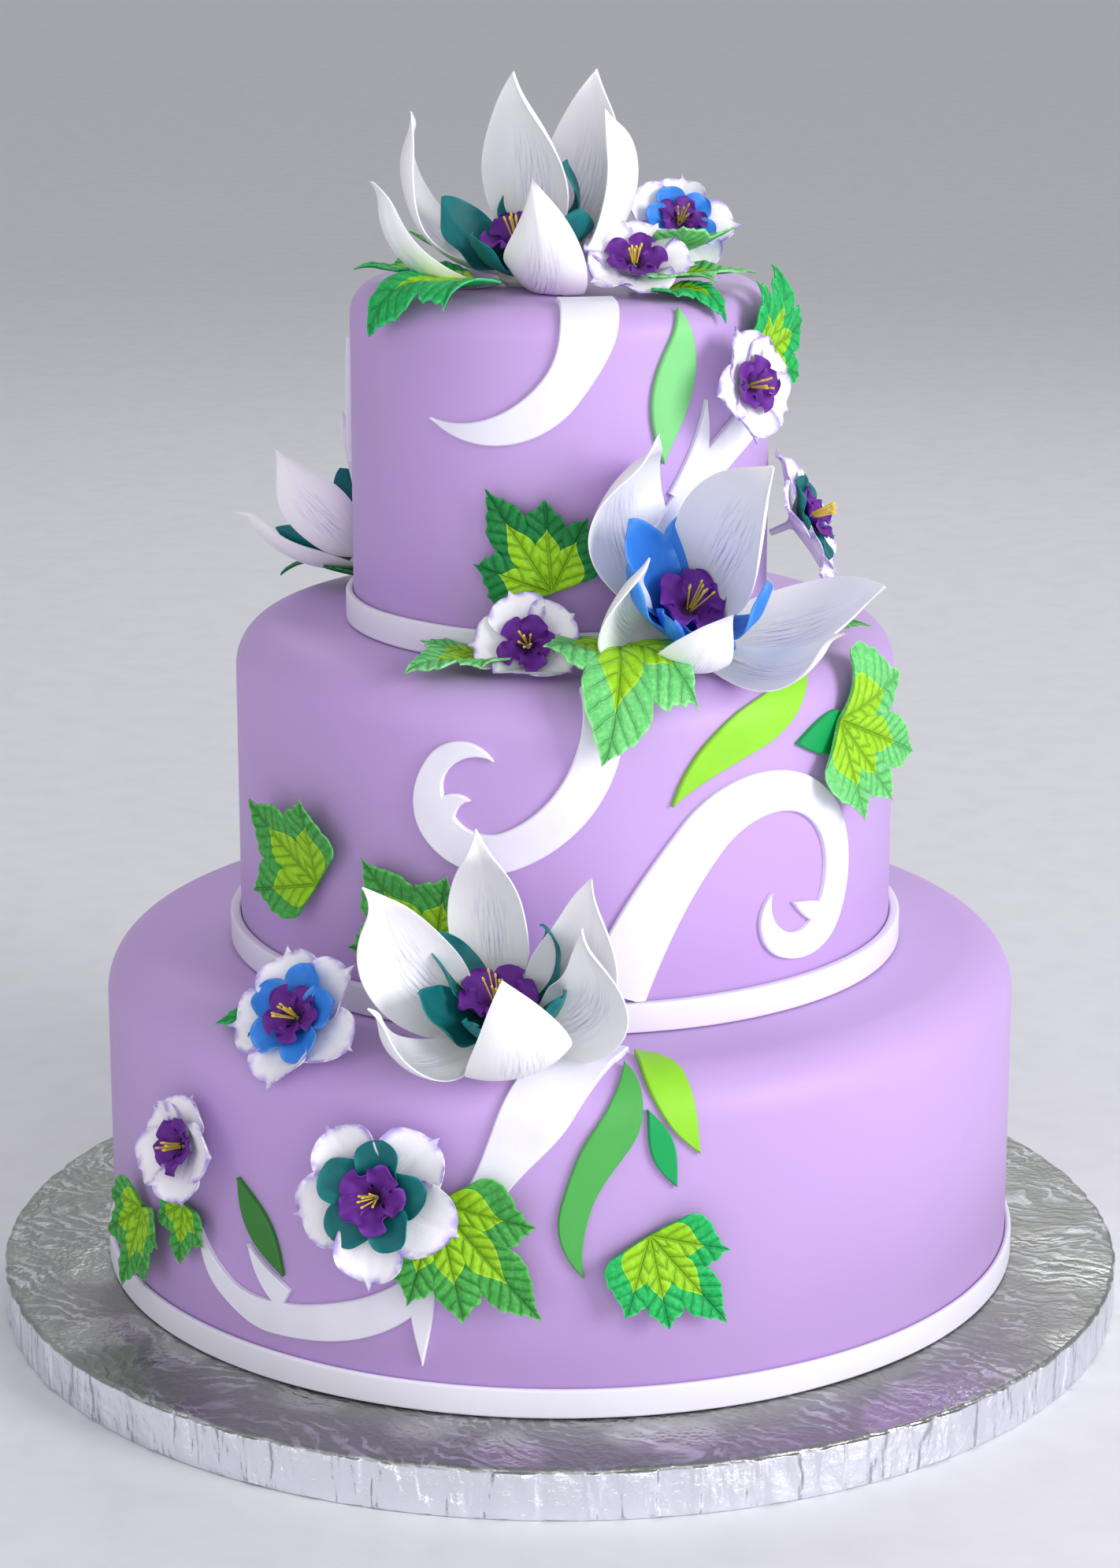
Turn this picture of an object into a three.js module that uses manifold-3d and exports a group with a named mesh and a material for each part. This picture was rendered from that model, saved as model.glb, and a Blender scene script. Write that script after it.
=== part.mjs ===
// A three-tier wedding cake on its foil-covered drum, dressed with sugar flowers,
// ivy leaves and flat scrolls of sugar paste. Millimetres, +Z up. The origin is the
// middle of the drum's underside, and the front of the cake looks towards -Y.
//
// Places on a tier are given by "turn" and "climb". Turn is the compass angle about
// the tier's axis in degrees, 0 at the front and positive towards +X. Climb is the
// distance from the tier's foot up its side, over the rounded edge and in across its top.
import * as THREE from 'three';
import Module from 'manifold-3d';

const wasm = await Module();
wasm.setup();

// ---------------------------------------------------------------- driving dimensions

const GAP = 0.3; // clear space between two pieces that touch
const TRIM_LIFT = 0.6; // paste trim stands this far off the faceted tiers
const EDGE_LIFT = 24; // and more over a rounded edge: this divided by the edge's radius
const PASTE = 2.2; // thickness of the rolled paste scrolls and flat leaves
const PETAL = 1.6; // thickness of a petal or an ivy leaf
const ROUND_STEPS = 36;

const DRUM = { radius: 230, thickness: 20.4 };
const TIERS = {
  bottom: { radius: 184, height: 132.4, edge: 20, centreX: 0, border: 2.6, borderHeight: 11.6 },
  middle: { radius: 131.4, height: 130.7, edge: 18, centreX: 2, border: 4.3, borderHeight: 11.7 },
  top: { radius: 82.2, height: 133.6, edge: 12, centreX: 0, border: 3, borderHeight: 12 },
};
TIERS.bottom.foot = DRUM.thickness + GAP;
TIERS.middle.foot = TIERS.bottom.foot + TIERS.bottom.height + GAP;
TIERS.top.foot = TIERS.middle.foot + TIERS.middle.height + GAP;

// Each scroll is a ribbon of arcs laid over a tier. It starts at a turn and climb with a
// heading over the skin (0 up, 90 to the right). An arc is [length, bend], and widths are
// those at the ends of the arcs, where 0 makes a point. Spurs are fused on.
const SCROLLS = {
  scroll_top_hook: { tier: 'top', from: [9, 150], heading: 182,
    arcs: [[16, 4], [32, 30], [58, 80]], widths: [22, 22, 16, 0], spurs: [] },
  scroll_top_fork: { tier: 'top', from: [23, 35], heading: 25, arcs: [[78, 45]], widths: [10, 15],
    spurs: [{ from: [33, 60], heading: 35, arcs: [[40, -35]], widths: [12, 0] }] },
  scroll_top_left: { tier: 'top', from: [-95, 110], heading: 180,
    arcs: [[25, 0], [25, 10]], widths: [0, 10, 0], spurs: [] },
  scroll_middle_curl: { tier: 'middle', from: [6, 135], heading: 172,
    arcs: [[34, 30], [44, 45], [30, 75], [27, 75], [24, 95]], widths: [15, 16, 15, 15, 9, 0],
    spurs: [{ from: [-20, 84], heading: 20, arcs: [[13, 85]], widths: [9, 0] }] },
  scroll_middle_arch: { tier: 'middle', from: [8, 15], heading: 20,
    arcs: [[68, 20], [62, 92], [48, 80], [28, 80], [26, 105]], widths: [24, 20, 14, 15, 10, 0],
    spurs: [{ from: [47, 35], heading: 290, arcs: [[16, 10]], widths: [8, 0] }] },
  scroll_bottom_sweep: { tier: 'bottom', from: [5, 160], heading: 210,
    arcs: [[42, 3], [44, -4], [20, -3], [58, 46], [36, 16], [26, 34], [24, 44]],
    widths: [28, 25, 13, 11, 15, 13, 9, 0],
    spurs: [
      { from: [-34, 34], heading: 300, arcs: [[26, 32]], widths: [10, 0] },
      { from: [-16, 50], heading: 182, arcs: [[32, -4]], widths: [10, 0] },
    ] },
};

// Flat leaves cut from the same paste, given like the scrolls.
const FLAT_LEAVES = {
  flat_leaf_top: { tier: 'top', colour: 0x6fcf74, from: [34, 133], heading: 182,
    arcs: [[29, 14], [30, -15]], widths: [0, 17, 0] },
  flat_leaf_middle_lime: { tier: 'middle', colour: 0x8edc2c, from: [48, 136], heading: 226,
    arcs: [[43, 24], [44, -36]], widths: [6, 17, 0] },
  flat_leaf_middle_emerald: { tier: 'middle', colour: 0x00a555, from: [41, 104], heading: 88,
    arcs: [[22, 0], [8, 0]], widths: [0, 17, 12] },
  flat_leaf_bottom_long: { tier: 'bottom', colour: 0x4baa4b, from: [8, 140], heading: 170,
    arcs: [[32, 46], [30, -20], [28, -46]], widths: [0, 15, 11, 0] },
  flat_leaf_bottom_lime: { tier: 'bottom', colour: 0xa0d73c, from: [10, 150], heading: 148,
    arcs: [[22, 18], [30, -16]], widths: [0, 15, 0] },
  flat_leaf_bottom_emerald: { tier: 'bottom', colour: 0x00a555, from: [10, 120], heading: 155,
    arcs: [[16, 10], [16, -10]], widths: [0, 9, 0] },
  flat_leaf_bottom_left: { tier: 'bottom', colour: 0x327d2d, from: [-41, 78], heading: 154,
    arcs: [[20, -8], [21, 0]], widths: [0, 12, 0] },
};

// The ivy comes from three cutters in four sizes. A cutter is its lobes as [angle from the
// midrib, reach as a share of the leaf's length].
const CUTTERS = {
  three: [[-50, 0.75], [0, 1], [50, 0.75]],
  four: [[-38, 0.65], [0, 1], [28, 0.8], [55, 0.7]],
  five: [[-80, 0.6], [-38, 0.8], [0, 1], [38, 0.8], [75, 0.6]],
};
const LEAF_SIZES = { large: 58, medium: 46, small: 37, tiny: 26 };
const NOTCH = 0.76; // how far in a notch between two lobes goes, as a share of the shorter one

// The climbs at which leaves are set, and how far off the skin their stalk ends lie.
const LEVELS = { foot: 28, lower: 48, low: 60, middle: 73, side: 85, high: 110, rim: 150, ring: 160, inner: 168 };
const LAYERS = { pressed: 1.4, resting: 3.4, over: 5, top: 11 };

// Each leaf: its cutter, size and tier, the level and turn of its stalk end, the midrib's
// heading, how far the tip rises off the skin, and its layer where it isn't "resting".
const IVY = {
  ivy_top_front_left: ['three', 'medium', 'top', 'ring', -38, -152, 5],
  ivy_top_far_left: ['three', 'tiny', 'top', 'ring', -82, 180, 4],
  ivy_top_behind_flower: ['three', 'small', 'top', 'ring', -135, 75, 15],
  ivy_top_back: ['three', 'small', 'top', 'inner', 80, -120, 15, 'top'],
  ivy_top_right: ['three', 'medium', 'top', 'inner', 48, 135, 2, 'over'],
  ivy_top_front_right: ['three', 'tiny', 'top', 'rim', 42, 165, 2, 'pressed'],
  ivy_top_side: ['five', 'small', 'top', 'high', 62, 75, 9],
  ivy_ledge_upright: ['four', 'medium', 'top', 'foot', -2, -32, 1],
  ivy_ledge_left: ['three', 'small', 'middle', 'ring', -18, -145, 4],
  ivy_ledge_front: ['three', 'medium', 'middle', 'rim', 12, -160, 2, 'top'],
  ivy_ledge_right: ['three', 'small', 'middle', 'ring', 55, 140, 7],
  ivy_ledge_back_left: ['three', 'small', 'middle', 'ring', -125, 165, 8],
  ivy_middle_right: ['four', 'large', 'middle', 'high', 50, 115, 8],
  ivy_middle_left: ['three', 'medium', 'middle', 'lower', -44, -55, 6],
  ivy_middle_behind_flower: ['three', 'medium', 'middle', 'foot', -21, -40, 3],
  ivy_bottom_ledge: ['three', 'tiny', 'bottom', 'rim', -41, -135, 2, 'pressed'],
  ivy_bottom_large: ['four', 'large', 'bottom', 'side', -14, 138, 6],
  ivy_bottom_right: ['four', 'medium', 'bottom', 'middle', 10, 142, 5],
  ivy_bottom_far_left: ['five', 'small', 'bottom', 'lower', -60, -165, 7],
  ivy_bottom_below_flower: ['three', 'tiny', 'bottom', 'low', -50, -175, 2],
};

// White petals are cut 80 by 38, narrow ones 84 by 22, and coloured ones 38 by 25 or, as
// quills, 50 by 20. Bent by hand, they have a lean from the flower's axis at the root, a bend
// from root to tip, and a cup from the middle line to the rim, all in degrees.
const WHITE = { length: 80, width: 38 };
const COLOURED = { length: 38, width: 25 };
const PETALS = {
  upright: { ...WHITE, width: 46, lean: 20, bend: -40, cup: 45 },
  raised: { ...WHITE, lean: 60, bend: -75, cup: 35 },
  open: { ...WHITE, lean: 90, bend: -95, cup: 35 },
  curled: { ...WHITE, lean: 90, bend: -135, cup: 30 },
  narrow: { length: 84, width: 22, lean: 90, bend: -105, cup: 35 },
  broad: { ...COLOURED, lean: 55, bend: -30, cup: 45 },
  cupped: { ...COLOURED, lean: 70, bend: -60, cup: 35 },
  quill: { length: 50, width: 20, lean: 70, bend: -100, cup: 15 },
};

const HOUR = 30; // degrees of an hour on a flower's clock face

// A flower stands on a tier's skin at [turn, climb, lift]. It looks outwards along its own
// turn, or along the turn named by face, and as far above level as its rise. A petal is
// [kind, hour, roll, size], its hour read as on a clock face that looks the same way.
const FLOWERS = {
  flower_crown: {
    tier: 'top', at: [-45, 190, 4], face: -15, rise: 70, inner: 'teal',
    outer: [['upright', 0.8], ['raised', 1.4, 20, 1.05], ['curled', 2.5, -20, 1.1], ['curled', 5, -35, 0.9],
      ['narrow', 7.6, 20], ['curled', 9.2, 20, 1.1]],
    petals: [['broad', 0, 20, 1.1], ['quill', 2.4], ['cupped', 3.8, -20, 1.1], ['cupped', 9, -20],
      ['cupped', 6.8, -20, 0.9]],
  },
  flower_middle: {
    tier: 'middle', at: [26, 156, 15], rise: 50, inner: 'blue',
    outer: [['curled', 11.1, 0, 1.15], ['upright', 1.9, -20, 1.1], ['open', 3.8, 0, 1.05], ['narrow', 5, 20],
      ['curled', 6.7, 0, 0.75], ['curled', 8.9, -60, 0.8]],
    petals: [['broad', 10.4, -10, 1.2], ['broad', 0.6, 0, 1.2], ['quill', 4.7], ['cupped', 6.2, -20, 0.9],
      ['cupped', 7.6, -20, 0.9], ['cupped', 9.1, 0, 1.15]],
  },
  flower_lower: {
    tier: 'bottom', at: [-8, 150, 11], rise: 60, inner: 'teal',
    outer: [['raised', 11.7, -20, 0.9], ['raised', 2.5, 50, 0.95], ['curled', 3.2, 70, 0.9],
      ['curled', 5.3, 0, 1.1], ['narrow', 7.3, -20], ['raised', 9.2, -50]],
    petals: [['broad', 10, 20], ['quill', 2], ['cupped', 4, 0, 1.1], ['cupped', 6.2, -20, 0.9],
      ['cupped', 8, -20]],
  },
  flower_back_left: {
    tier: 'middle', at: [-120, 162, 15], rise: 45, inner: 'teal',
    outer: [0, 1, 2, 3, 4].map((number) => ['raised', 2.4 * number, 0, 0.72]),
    petals: [1, 4, 7, 10].map((hour) => ['cupped', hour, 0, 0.9]),
  },
};

// Small flowers stand and look in the same way, one petal pointing at the given hour. The
// plain ones are smaller, with no inner whorl.
const BLOSSOM_SIZES = { plain: 23, teal: 33, blue: 30 };
const BLOSSOMS = {
  blossom_top_blue: {
    inner: 'blue', scale: 0.8, tier: 'top', at: [98, 165, 18], face: 15, rise: 40, hour: 3, stalk: 22,
  },
  blossom_top_plain: { inner: 'plain', tier: 'top', at: [39, 166, 8], face: 5, rise: 55, hour: 8, stalk: 6 },
  blossom_top_side: { inner: 'plain', tier: 'top', at: [48, 102, 10], rise: 15, hour: 6.5, stalk: 6 },
  blossom_top_right: { inner: 'teal', scale: 0.9, tier: 'top', at: [80, 40, 10], rise: 25, hour: 5, stalk: 7 },
  blossom_ledge: { inner: 'plain', tier: 'middle', at: [-8, 158, 9], rise: 30, hour: 6.5, stalk: 7 },
  blossom_bottom_ledge: { inner: 'blue', tier: 'bottom', at: [-35, 142, 6], rise: 35, hour: 6, stalk: 6 },
  blossom_bottom_left: { inner: 'plain', tier: 'bottom', at: [-49, 84, 3], rise: 15, hour: 12.5, stalk: 3 },
  blossom_bottom_front: { inner: 'teal', tier: 'bottom', at: [-20, 86, 7], rise: 15, hour: 6, stalk: 5 },
};

const COLOURS = {
  lilac: 0xcba9e0, white: 0xf3f1f8, foil: 0xc9cbd0, ivy: 0x5cb32e,
  teal: 0x00757a, blue: 0x2f7fe0, purple: 0x6f2a94,
};

// ---------------------------------------------------------------- solids

/** Builds an indexed geometry from corners and faces, merging equal corners, faces out. */
function solidGeometry(corners, faces) {
  const places = new Map();
  const positions = [];
  const slots = corners.map((corner) => {
    const key = corner.toArray().map((value) => Math.round(value * 1000)).join();
    if (!places.has(key)) {
      places.set(key, positions.length / 3);
      positions.push(corner.x, corner.y, corner.z);
    }
    return places.get(key);
  });
  const kept = faces
    .map((face) => face.map((corner) => slots[corner]))
    .filter(([a, b, c]) => a !== b && b !== c && a !== c);
  const point = (slot) => new THREE.Vector3().fromArray(positions, slot * 3);
  const volume = kept.reduce((sum, [a, b, c]) => sum + point(a).dot(point(b).cross(point(c))), 0);
  const index = volume < 0 ? kept.map(([a, b, c]) => [a, c, b]) : kept;
  const geometry = new THREE.BufferGeometry();
  geometry.setAttribute('position', new THREE.Float32BufferAttribute(positions, 3));
  geometry.setIndex(index.flat());
  return geometry;
}

/** Makes a thin closed sheet: place(i, j) returns a grid point's outer and inner corners. */
function sheetSolid(columns, rows, place) {
  const corners = [];
  for (let j = 0; j <= rows; j += 1) {
    for (let i = 0; i <= columns; i += 1) {
      corners.push(...place(i, j));
    }
  }
  const at = (i, j, face) => 2 * (j * (columns + 1) + i) + face;
  const faces = [];
  const quad = (a, b, c, d) => faces.push([a, b, c], [a, c, d]);
  for (let j = 0; j < rows; j += 1) {
    for (let i = 0; i < columns; i += 1) {
      quad(at(i, j, 0), at(i + 1, j, 0), at(i + 1, j + 1, 0), at(i, j + 1, 0));
      faces.push([at(i, j, 1), at(i + 1, j + 1, 1), at(i + 1, j, 1)]);
      faces.push([at(i, j, 1), at(i, j + 1, 1), at(i + 1, j + 1, 1)]);
    }
    quad(at(0, j, 1), at(0, j, 0), at(0, j + 1, 0), at(0, j + 1, 1));
    quad(at(columns, j, 0), at(columns, j, 1), at(columns, j + 1, 1), at(columns, j + 1, 0));
  }
  for (let i = 0; i < columns; i += 1) {
    quad(at(i, 0, 0), at(i, 0, 1), at(i + 1, 0, 1), at(i + 1, 0, 0));
    quad(at(i, rows, 1), at(i, rows, 0), at(i + 1, rows, 0), at(i + 1, rows, 1));
  }
  return solidGeometry(corners, faces);
}

function toManifold(geometry) {
  const vertProperties = new Float32Array(geometry.attributes.position.array);
  const triVerts = new Uint32Array(geometry.index.array);
  return new wasm.Manifold(new wasm.Mesh({ numProp: 3, vertProperties, triVerts }));
}

function toGeometry(manifold) {
  const mesh = manifold.getMesh();
  const geometry = new THREE.BufferGeometry();
  geometry.setAttribute('position', new THREE.BufferAttribute(mesh.vertProperties, 3));
  geometry.setIndex(new THREE.BufferAttribute(mesh.triVerts, 1));
  return geometry;
}

/** Joins closed geometries into one manifold solid. */
function fuse(geometries) {
  return geometries.map(toManifold).reduce((whole, piece) => whole.add(piece));
}

/** Keeps only the largest body of a cut solid. */
function largestBody(manifold) {
  const bodies = manifold.decompose();
  return bodies.reduce((best, body) => (body.volume() > best.volume() ? body : best));
}

// ---------------------------------------------------------------- tiers, drum and borders

/** A tier made larger by GAP all round, in its place, for cutting other pieces clear of it. */
function tierRoom(tier) {
  const { radius, height, edge, centreX, foot } = tier;
  const geometry = tierGeometry({ radius: radius + GAP, height: height + 2 * GAP, edge: edge + GAP });
  return toManifold(solidFromSoup(geometry.translate(centreX, 0, foot - GAP)));
}

/** Revolves a closed [radius, height] profile about +Z. */
function revolved(profile) {
  const points = profile.map(([radius, height]) => new THREE.Vector2(radius, height));
  return new THREE.LatheGeometry(points, ROUND_STEPS).rotateX(Math.PI / 2);
}

function tierGeometry({ radius, height, edge }) {
  const profile = [[0, 0], [radius, 0]];
  const edgeSteps = 3;
  for (let step = 0; step <= edgeSteps; step += 1) {
    const angle = (step / edgeSteps) * (Math.PI / 2);
    profile.push([radius - edge + edge * Math.cos(angle), height - edge + edge * Math.sin(angle)]);
  }
  profile.push([0, height]);
  return revolved(profile);
}

function borderGeometry({ radius, border, borderHeight }) {
  const inner = radius + GAP;
  const outer = radius + border;
  return revolved([[inner, 0], [outer, 0], [outer, borderHeight], [inner, borderHeight], [inner, 0]]);
}

function drumGeometry() {
  return revolved([[0, 0], [DRUM.radius, 0], [DRUM.radius, DRUM.thickness], [0, DRUM.thickness]]);
}

// ---------------------------------------------------------------- pieces on a tier's skin

/** Radius, height and outward slope of a tier's skin at a climb. */
function skinAt({ radius, height, edge }, climb) {
  const side = height - edge;
  const overEdge = side + (edge * Math.PI) / 2;
  if (climb <= side) {
    return { radius, height: climb, slope: 0 };
  }
  if (climb >= overEdge) {
    return { radius: radius - edge - (climb - overEdge), height, slope: Math.PI / 2 };
  }
  const slope = (climb - side) / edge;
  return { radius: radius - edge * (1 - Math.cos(slope)), height: side + edge * Math.sin(slope), slope };
}

/** Point off a tier's skin, at a turn in degrees. */
function skinPoint(tierName, turn, climb, lift) {
  const tier = TIERS[tierName];
  const skin = skinAt(tier, climb);
  const reach = skin.radius + lift * Math.cos(skin.slope);
  const angle = THREE.MathUtils.degToRad(turn);
  return new THREE.Vector3(
    tier.centreX + reach * Math.sin(angle),
    -reach * Math.cos(angle),
    tier.foot + skin.height + lift * Math.sin(skin.slope),
  );
}

/** Degrees of turn that a distance across the skin makes at a climb. */
function turnOver(tierName, climb, distance) {
  return THREE.MathUtils.radToDeg(distance / Math.max(skinAt(TIERS[tierName], climb).radius, 20));
}

/** The least and greatest climb of trim: from the tier's border to the one of the tier above. */
function climbRange(tierName) {
  const tier = TIERS[tierName];
  const above = { bottom: TIERS.middle, middle: TIERS.top }[tierName];
  const ledge = above ? above.radius + above.border + Math.abs(above.centreX - tier.centreX) + 2 * GAP : 0;
  const edgeCut = tier.edge * (2 - Math.PI / 2);
  return [tier.borderHeight + GAP, tier.height + tier.radius - edgeCut - ledge];
}

const WIDE_RIBBON = 17; // a wider ribbon needs a middle line of corners to follow the round tier
const ARC_STEP = 12.5; // a ribbon has a row of corners about this often along it

/** Width at a share of an arc between the widths at its ends; 0 makes a point. */
function widthBetween(start, end, share) {
  const quarter = (share * Math.PI) / 2;
  if (start === 0) {
    return end * Math.sin(quarter);
  }
  return end === 0 ? start * Math.cos(quarter) : start + (end - start) * Math.sin(quarter) ** 2;
}

/** Rows of a ribbon: places along its arcs on the flattened tier, with aim and width. */
function ribbonRows(radius, { from, heading, arcs, widths }) {
  const rad = THREE.MathUtils.degToRad;
  const rows = [{ place: new THREE.Vector2(rad(from[0]) * radius, from[1]), aim: rad(heading), width: widths[0] }];
  arcs.forEach(([length, bend], number) => {
    const { place: start, aim } = rows.at(-1);
    const steps = Math.max(1, Math.round(length / ARC_STEP));
    for (let step = 1; step <= steps; step += 1) {
      const share = step / steps;
      const half = (rad(bend) * share) / 2;
      const chord = length * share * (half ? Math.sin(half) / half : 1);
      const way = new THREE.Vector2(Math.sin(aim + half), Math.cos(aim + half));
      const width = widthBetween(widths[number], widths[number + 1], share);
      rows.push({ place: way.multiplyScalar(chord).add(start), aim: aim + 2 * half, width });
    }
  });
  return rows;
}

/** A ribbon of paste on a tier. */
function ribbonGeometry(tierName, path) {
  const { radius, edge } = TIERS[tierName];
  const [lowest, highest] = climbRange(tierName);
  const rows = ribbonRows(radius, path);
  const columns = Math.max(...path.widths) > WIDE_RIBBON ? 2 : 1;
  return sheetSolid(columns, rows.length - 1, (i, j) => {
    const { place, aim, width } = rows[j];
    const across = (i / columns - 0.5) * width;
    const climb = THREE.MathUtils.clamp(place.y + Math.sin(aim) * across, lowest, highest);
    const turn = THREE.MathUtils.radToDeg(place.x / radius) - turnOver(tierName, climb, Math.cos(aim) * across);
    const bridge = (EDGE_LIFT / edge) * Math.sin(2 * skinAt(TIERS[tierName], climb).slope);
    const rest = TRIM_LIFT + bridge;
    return [rest + PASTE, rest].map((lift) => skinPoint(tierName, turn, climb, lift));
  });
}

function scrollGeometry({ tier, spurs, ...path }) {
  const pieces = [path, ...spurs].map((part) => ribbonGeometry(tier, part));
  return toGeometry(fuse(pieces));
}

/** Outline stations of an ivy leaf as [angle, reach], from one side of the stalk to the other. */
function ivyOutline(lobes) {
  const [baseAngle, baseReach] = [44, 0.36];
  const outline = [[lobes[0][0] - baseAngle, baseReach]];
  lobes.forEach(([angle, reach], number) => {
    if (number > 0) {
      const [lastAngle, lastReach] = lobes[number - 1];
      outline.push([(angle + lastAngle) / 2, NOTCH * Math.min(reach, lastReach)]);
    }
    outline.push([angle, reach]);
  });
  outline.push([lobes.at(-1)[0] + baseAngle, baseReach]);
  return outline;
}

const LEAF_EDGE_LIFT = 1.6; // a leaf bridges a rounded edge this much higher
const FOLD = 0.12; // how steeply both halves of an ivy leaf rise from its midrib

function ivyGeometry([cutter, size, tier, level, turn, heading, rise, layer = 'resting']) {
  const outline = ivyOutline(CUTTERS[cutter]);
  const length = LEAF_SIZES[size];
  const climb = LEVELS[level];
  const [lowest, highest] = climbRange(tier);
  const rings = 2;
  const aim = THREE.MathUtils.degToRad(heading);
  return sheetSolid(outline.length - 1, rings, (i, j) => {
    const [angle, reach] = outline[i];
    const share = j / rings;
    const distance = length * reach * share;
    const bearing = aim + THREE.MathUtils.degToRad(angle);
    const up = THREE.MathUtils.clamp(climb + distance * Math.cos(bearing), lowest, highest);
    const side = distance * Math.sin(bearing);
    const off = distance * Math.sin(THREE.MathUtils.degToRad(angle));
    const bend = LEAF_EDGE_LIFT * Math.sin(2 * skinAt(TIERS[tier], up).slope);
    const curl = rise * (distance / length) ** 1.5 + FOLD * Math.abs(off);
    const lift = LAYERS[layer] + bend + curl;
    const place = turn + turnOver(tier, up, side);
    return [lift + PETAL, lift].map((height) => skinPoint(tier, place, up, height));
  });
}

// ---------------------------------------------------------------- flowers

/** A flower's own axes: the way it looks, its right-hand side and its top. */
function flowerAxes(turn, rise) {
  const compass = THREE.MathUtils.degToRad(turn);
  const level = THREE.MathUtils.degToRad(rise);
  const look = new THREE.Vector3(
    Math.sin(compass) * Math.cos(level), -Math.cos(compass) * Math.cos(level), Math.sin(level),
  );
  const side = new THREE.Vector3(0, 0, 1).cross(look).normalize();
  return { look, side, top: look.clone().cross(side) };
}

const WIDEST = 0.45; // where along its length a petal is widest
const TIP_POWER = 0.95; // how drawn out its tip is: 0.5 is round, 1 runs to a straight point

/** Share of a petal's full width at a share of its length. */
function petalWidth(along) {
  const rootPower = (TIP_POWER * WIDEST) / (1 - WIDEST);
  const shape = (along ** rootPower * (1 - along) ** TIP_POWER)
    / (WIDEST ** rootPower * (1 - WIDEST) ** TIP_POWER);
  const claw = 0.16 * (1 - along) ** 2;
  return claw + (1 - claw) * shape;
}

/** Distance of a point outside a tier with its rounded edge, and the way out as [outwards, up]. */
function outsideTier(tier, away, z) {
  const side = away - (tier.radius - tier.edge);
  const up = z - (tier.foot + tier.height - tier.edge);
  const corner = new THREE.Vector2(Math.max(side, 0), Math.max(up, 0));
  const distance = corner.length() + Math.min(Math.max(side, up), 0) - tier.edge;
  if (corner.length() === 0) {
    corner.set(side > up ? 1 : 0, side > up ? 0 : 1);
  }
  return { distance, way: corner.normalize() };
}

/** Pushes a point out of the cake: off each tier's icing, and off its border near the foot. */
function clearOfCake(point, clearance) {
  for (const tier of Object.values(TIERS)) {
    const away = new THREE.Vector2(point.x - tier.centreX, point.y);
    const { distance, way } = outsideTier(tier, away.length(), point.z);
    const besideBorder = point.z < tier.foot + tier.borderHeight + clearance;
    const push = clearance + (besideBorder ? tier.border : 0) - distance;
    if (push > 0 && point.z > tier.foot - 1) {
      away.setLength(away.length() + push * way.x);
      point.set(away.x + tier.centreX, away.y, point.z + push * way.y);
    }
  }
  return point;
}

/** One petal as a thin closed sheet; extra widens it all round, for cutting clearances. */
function petalGeometry(frame, petal, { root, height, columns, rows, extra = 0 }) {
  const [kind, hour, roll = 0, size = 1] = petal;
  const { lean, bend, cup } = PETALS[kind];
  const trueLength = PETALS[kind].length * size;
  const length = trueLength + extra;
  const width = PETALS[kind].width * size + 2 * extra;
  const rad = THREE.MathUtils.degToRad;
  const out = frame.top.clone().multiplyScalar(Math.cos(rad(HOUR * hour)));
  out.addScaledVector(frame.side, Math.sin(rad(HOUR * hour)));
  const across = frame.look.clone().cross(out);
  const curve = rad(bend) / trueLength;
  const cupAngle = rad(Math.max(cup, 5));
  const half = PETAL / 2 + extra;
  return sheetSolid(columns, rows, (i, j) => {
    const along = j / rows;
    const angle = rad(lean) + curve * along * length;
    const reach = root + (Math.cos(rad(lean)) - Math.cos(angle)) / curve;
    const climb = height + (Math.sin(angle) - Math.sin(rad(lean))) / curve;
    const inward = out.clone().multiplyScalar(-Math.cos(angle)).addScaledVector(frame.look, Math.sin(angle));
    const [level, tilt] = [Math.cos(rad(roll)), Math.sin(rad(roll))];
    const wide = across.clone().multiplyScalar(level).addScaledVector(inward, tilt);
    const deep = inward.clone().multiplyScalar(level).addScaledVector(across, -tilt);
    const turn = cupAngle * ((2 * i) / columns - 1);
    const span = (width / 2) * petalWidth(along);
    const point = frame.base.clone()
      .addScaledVector(out, reach)
      .addScaledVector(frame.look, climb)
      .addScaledVector(wide, (span * Math.sin(turn)) / cupAngle)
      .addScaledVector(deep, (span * (1 - Math.cos(turn))) / cupAngle);
    clearOfCake(point, 1.6);
    const normal = deep.multiplyScalar(Math.cos(turn)).addScaledVector(wide, -Math.sin(turn));
    return [-half, half].map((offset) => point.clone().addScaledVector(normal, offset));
  });
}

const CUP_SIDES = 8;

/** A short round body along the flower's axis, from one height to another. */
function spindle(frame, fromHeight, toHeight, radius, tipRadius) {
  const geometry = new THREE.CylinderGeometry(tipRadius, radius, toHeight - fromHeight, CUP_SIDES);
  geometry.translate(0, (fromHeight + toHeight) / 2, 0);
  const turnToAxis = new THREE.Quaternion().setFromUnitVectors(new THREE.Vector3(0, 1, 0), frame.look);
  geometry.applyQuaternion(turnToAxis).translate(frame.base.x, frame.base.y, frame.base.z);
  return solidFromSoup(geometry);
}

/** Merges a three.js primitive's corners so that it is one closed body. */
function solidFromSoup(geometry) {
  const { position } = geometry.attributes;
  const corners = Array.from({ length: position.count }, (_, slot) => (
    new THREE.Vector3().fromBufferAttribute(position, slot)
  ));
  const faces = [];
  for (let slot = 0; slot < geometry.index.count; slot += 3) {
    faces.push([0, 1, 2].map((corner) => geometry.index.getX(slot + corner)));
  }
  return solidGeometry(corners, faces);
}

const OUTER = { root: 8, height: 0, columns: 2, rows: 5 };
const INNER = { root: 5.5, height: 5, columns: 2, rows: 3 };
const CLEARANCE = 0.5; // half the slot left where one whorl crosses another

function whorl(frame, petals, shape, extra = 0) {
  return petals.map((petal) => petalGeometry(frame, petal, { ...shape, extra }));
}

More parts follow.
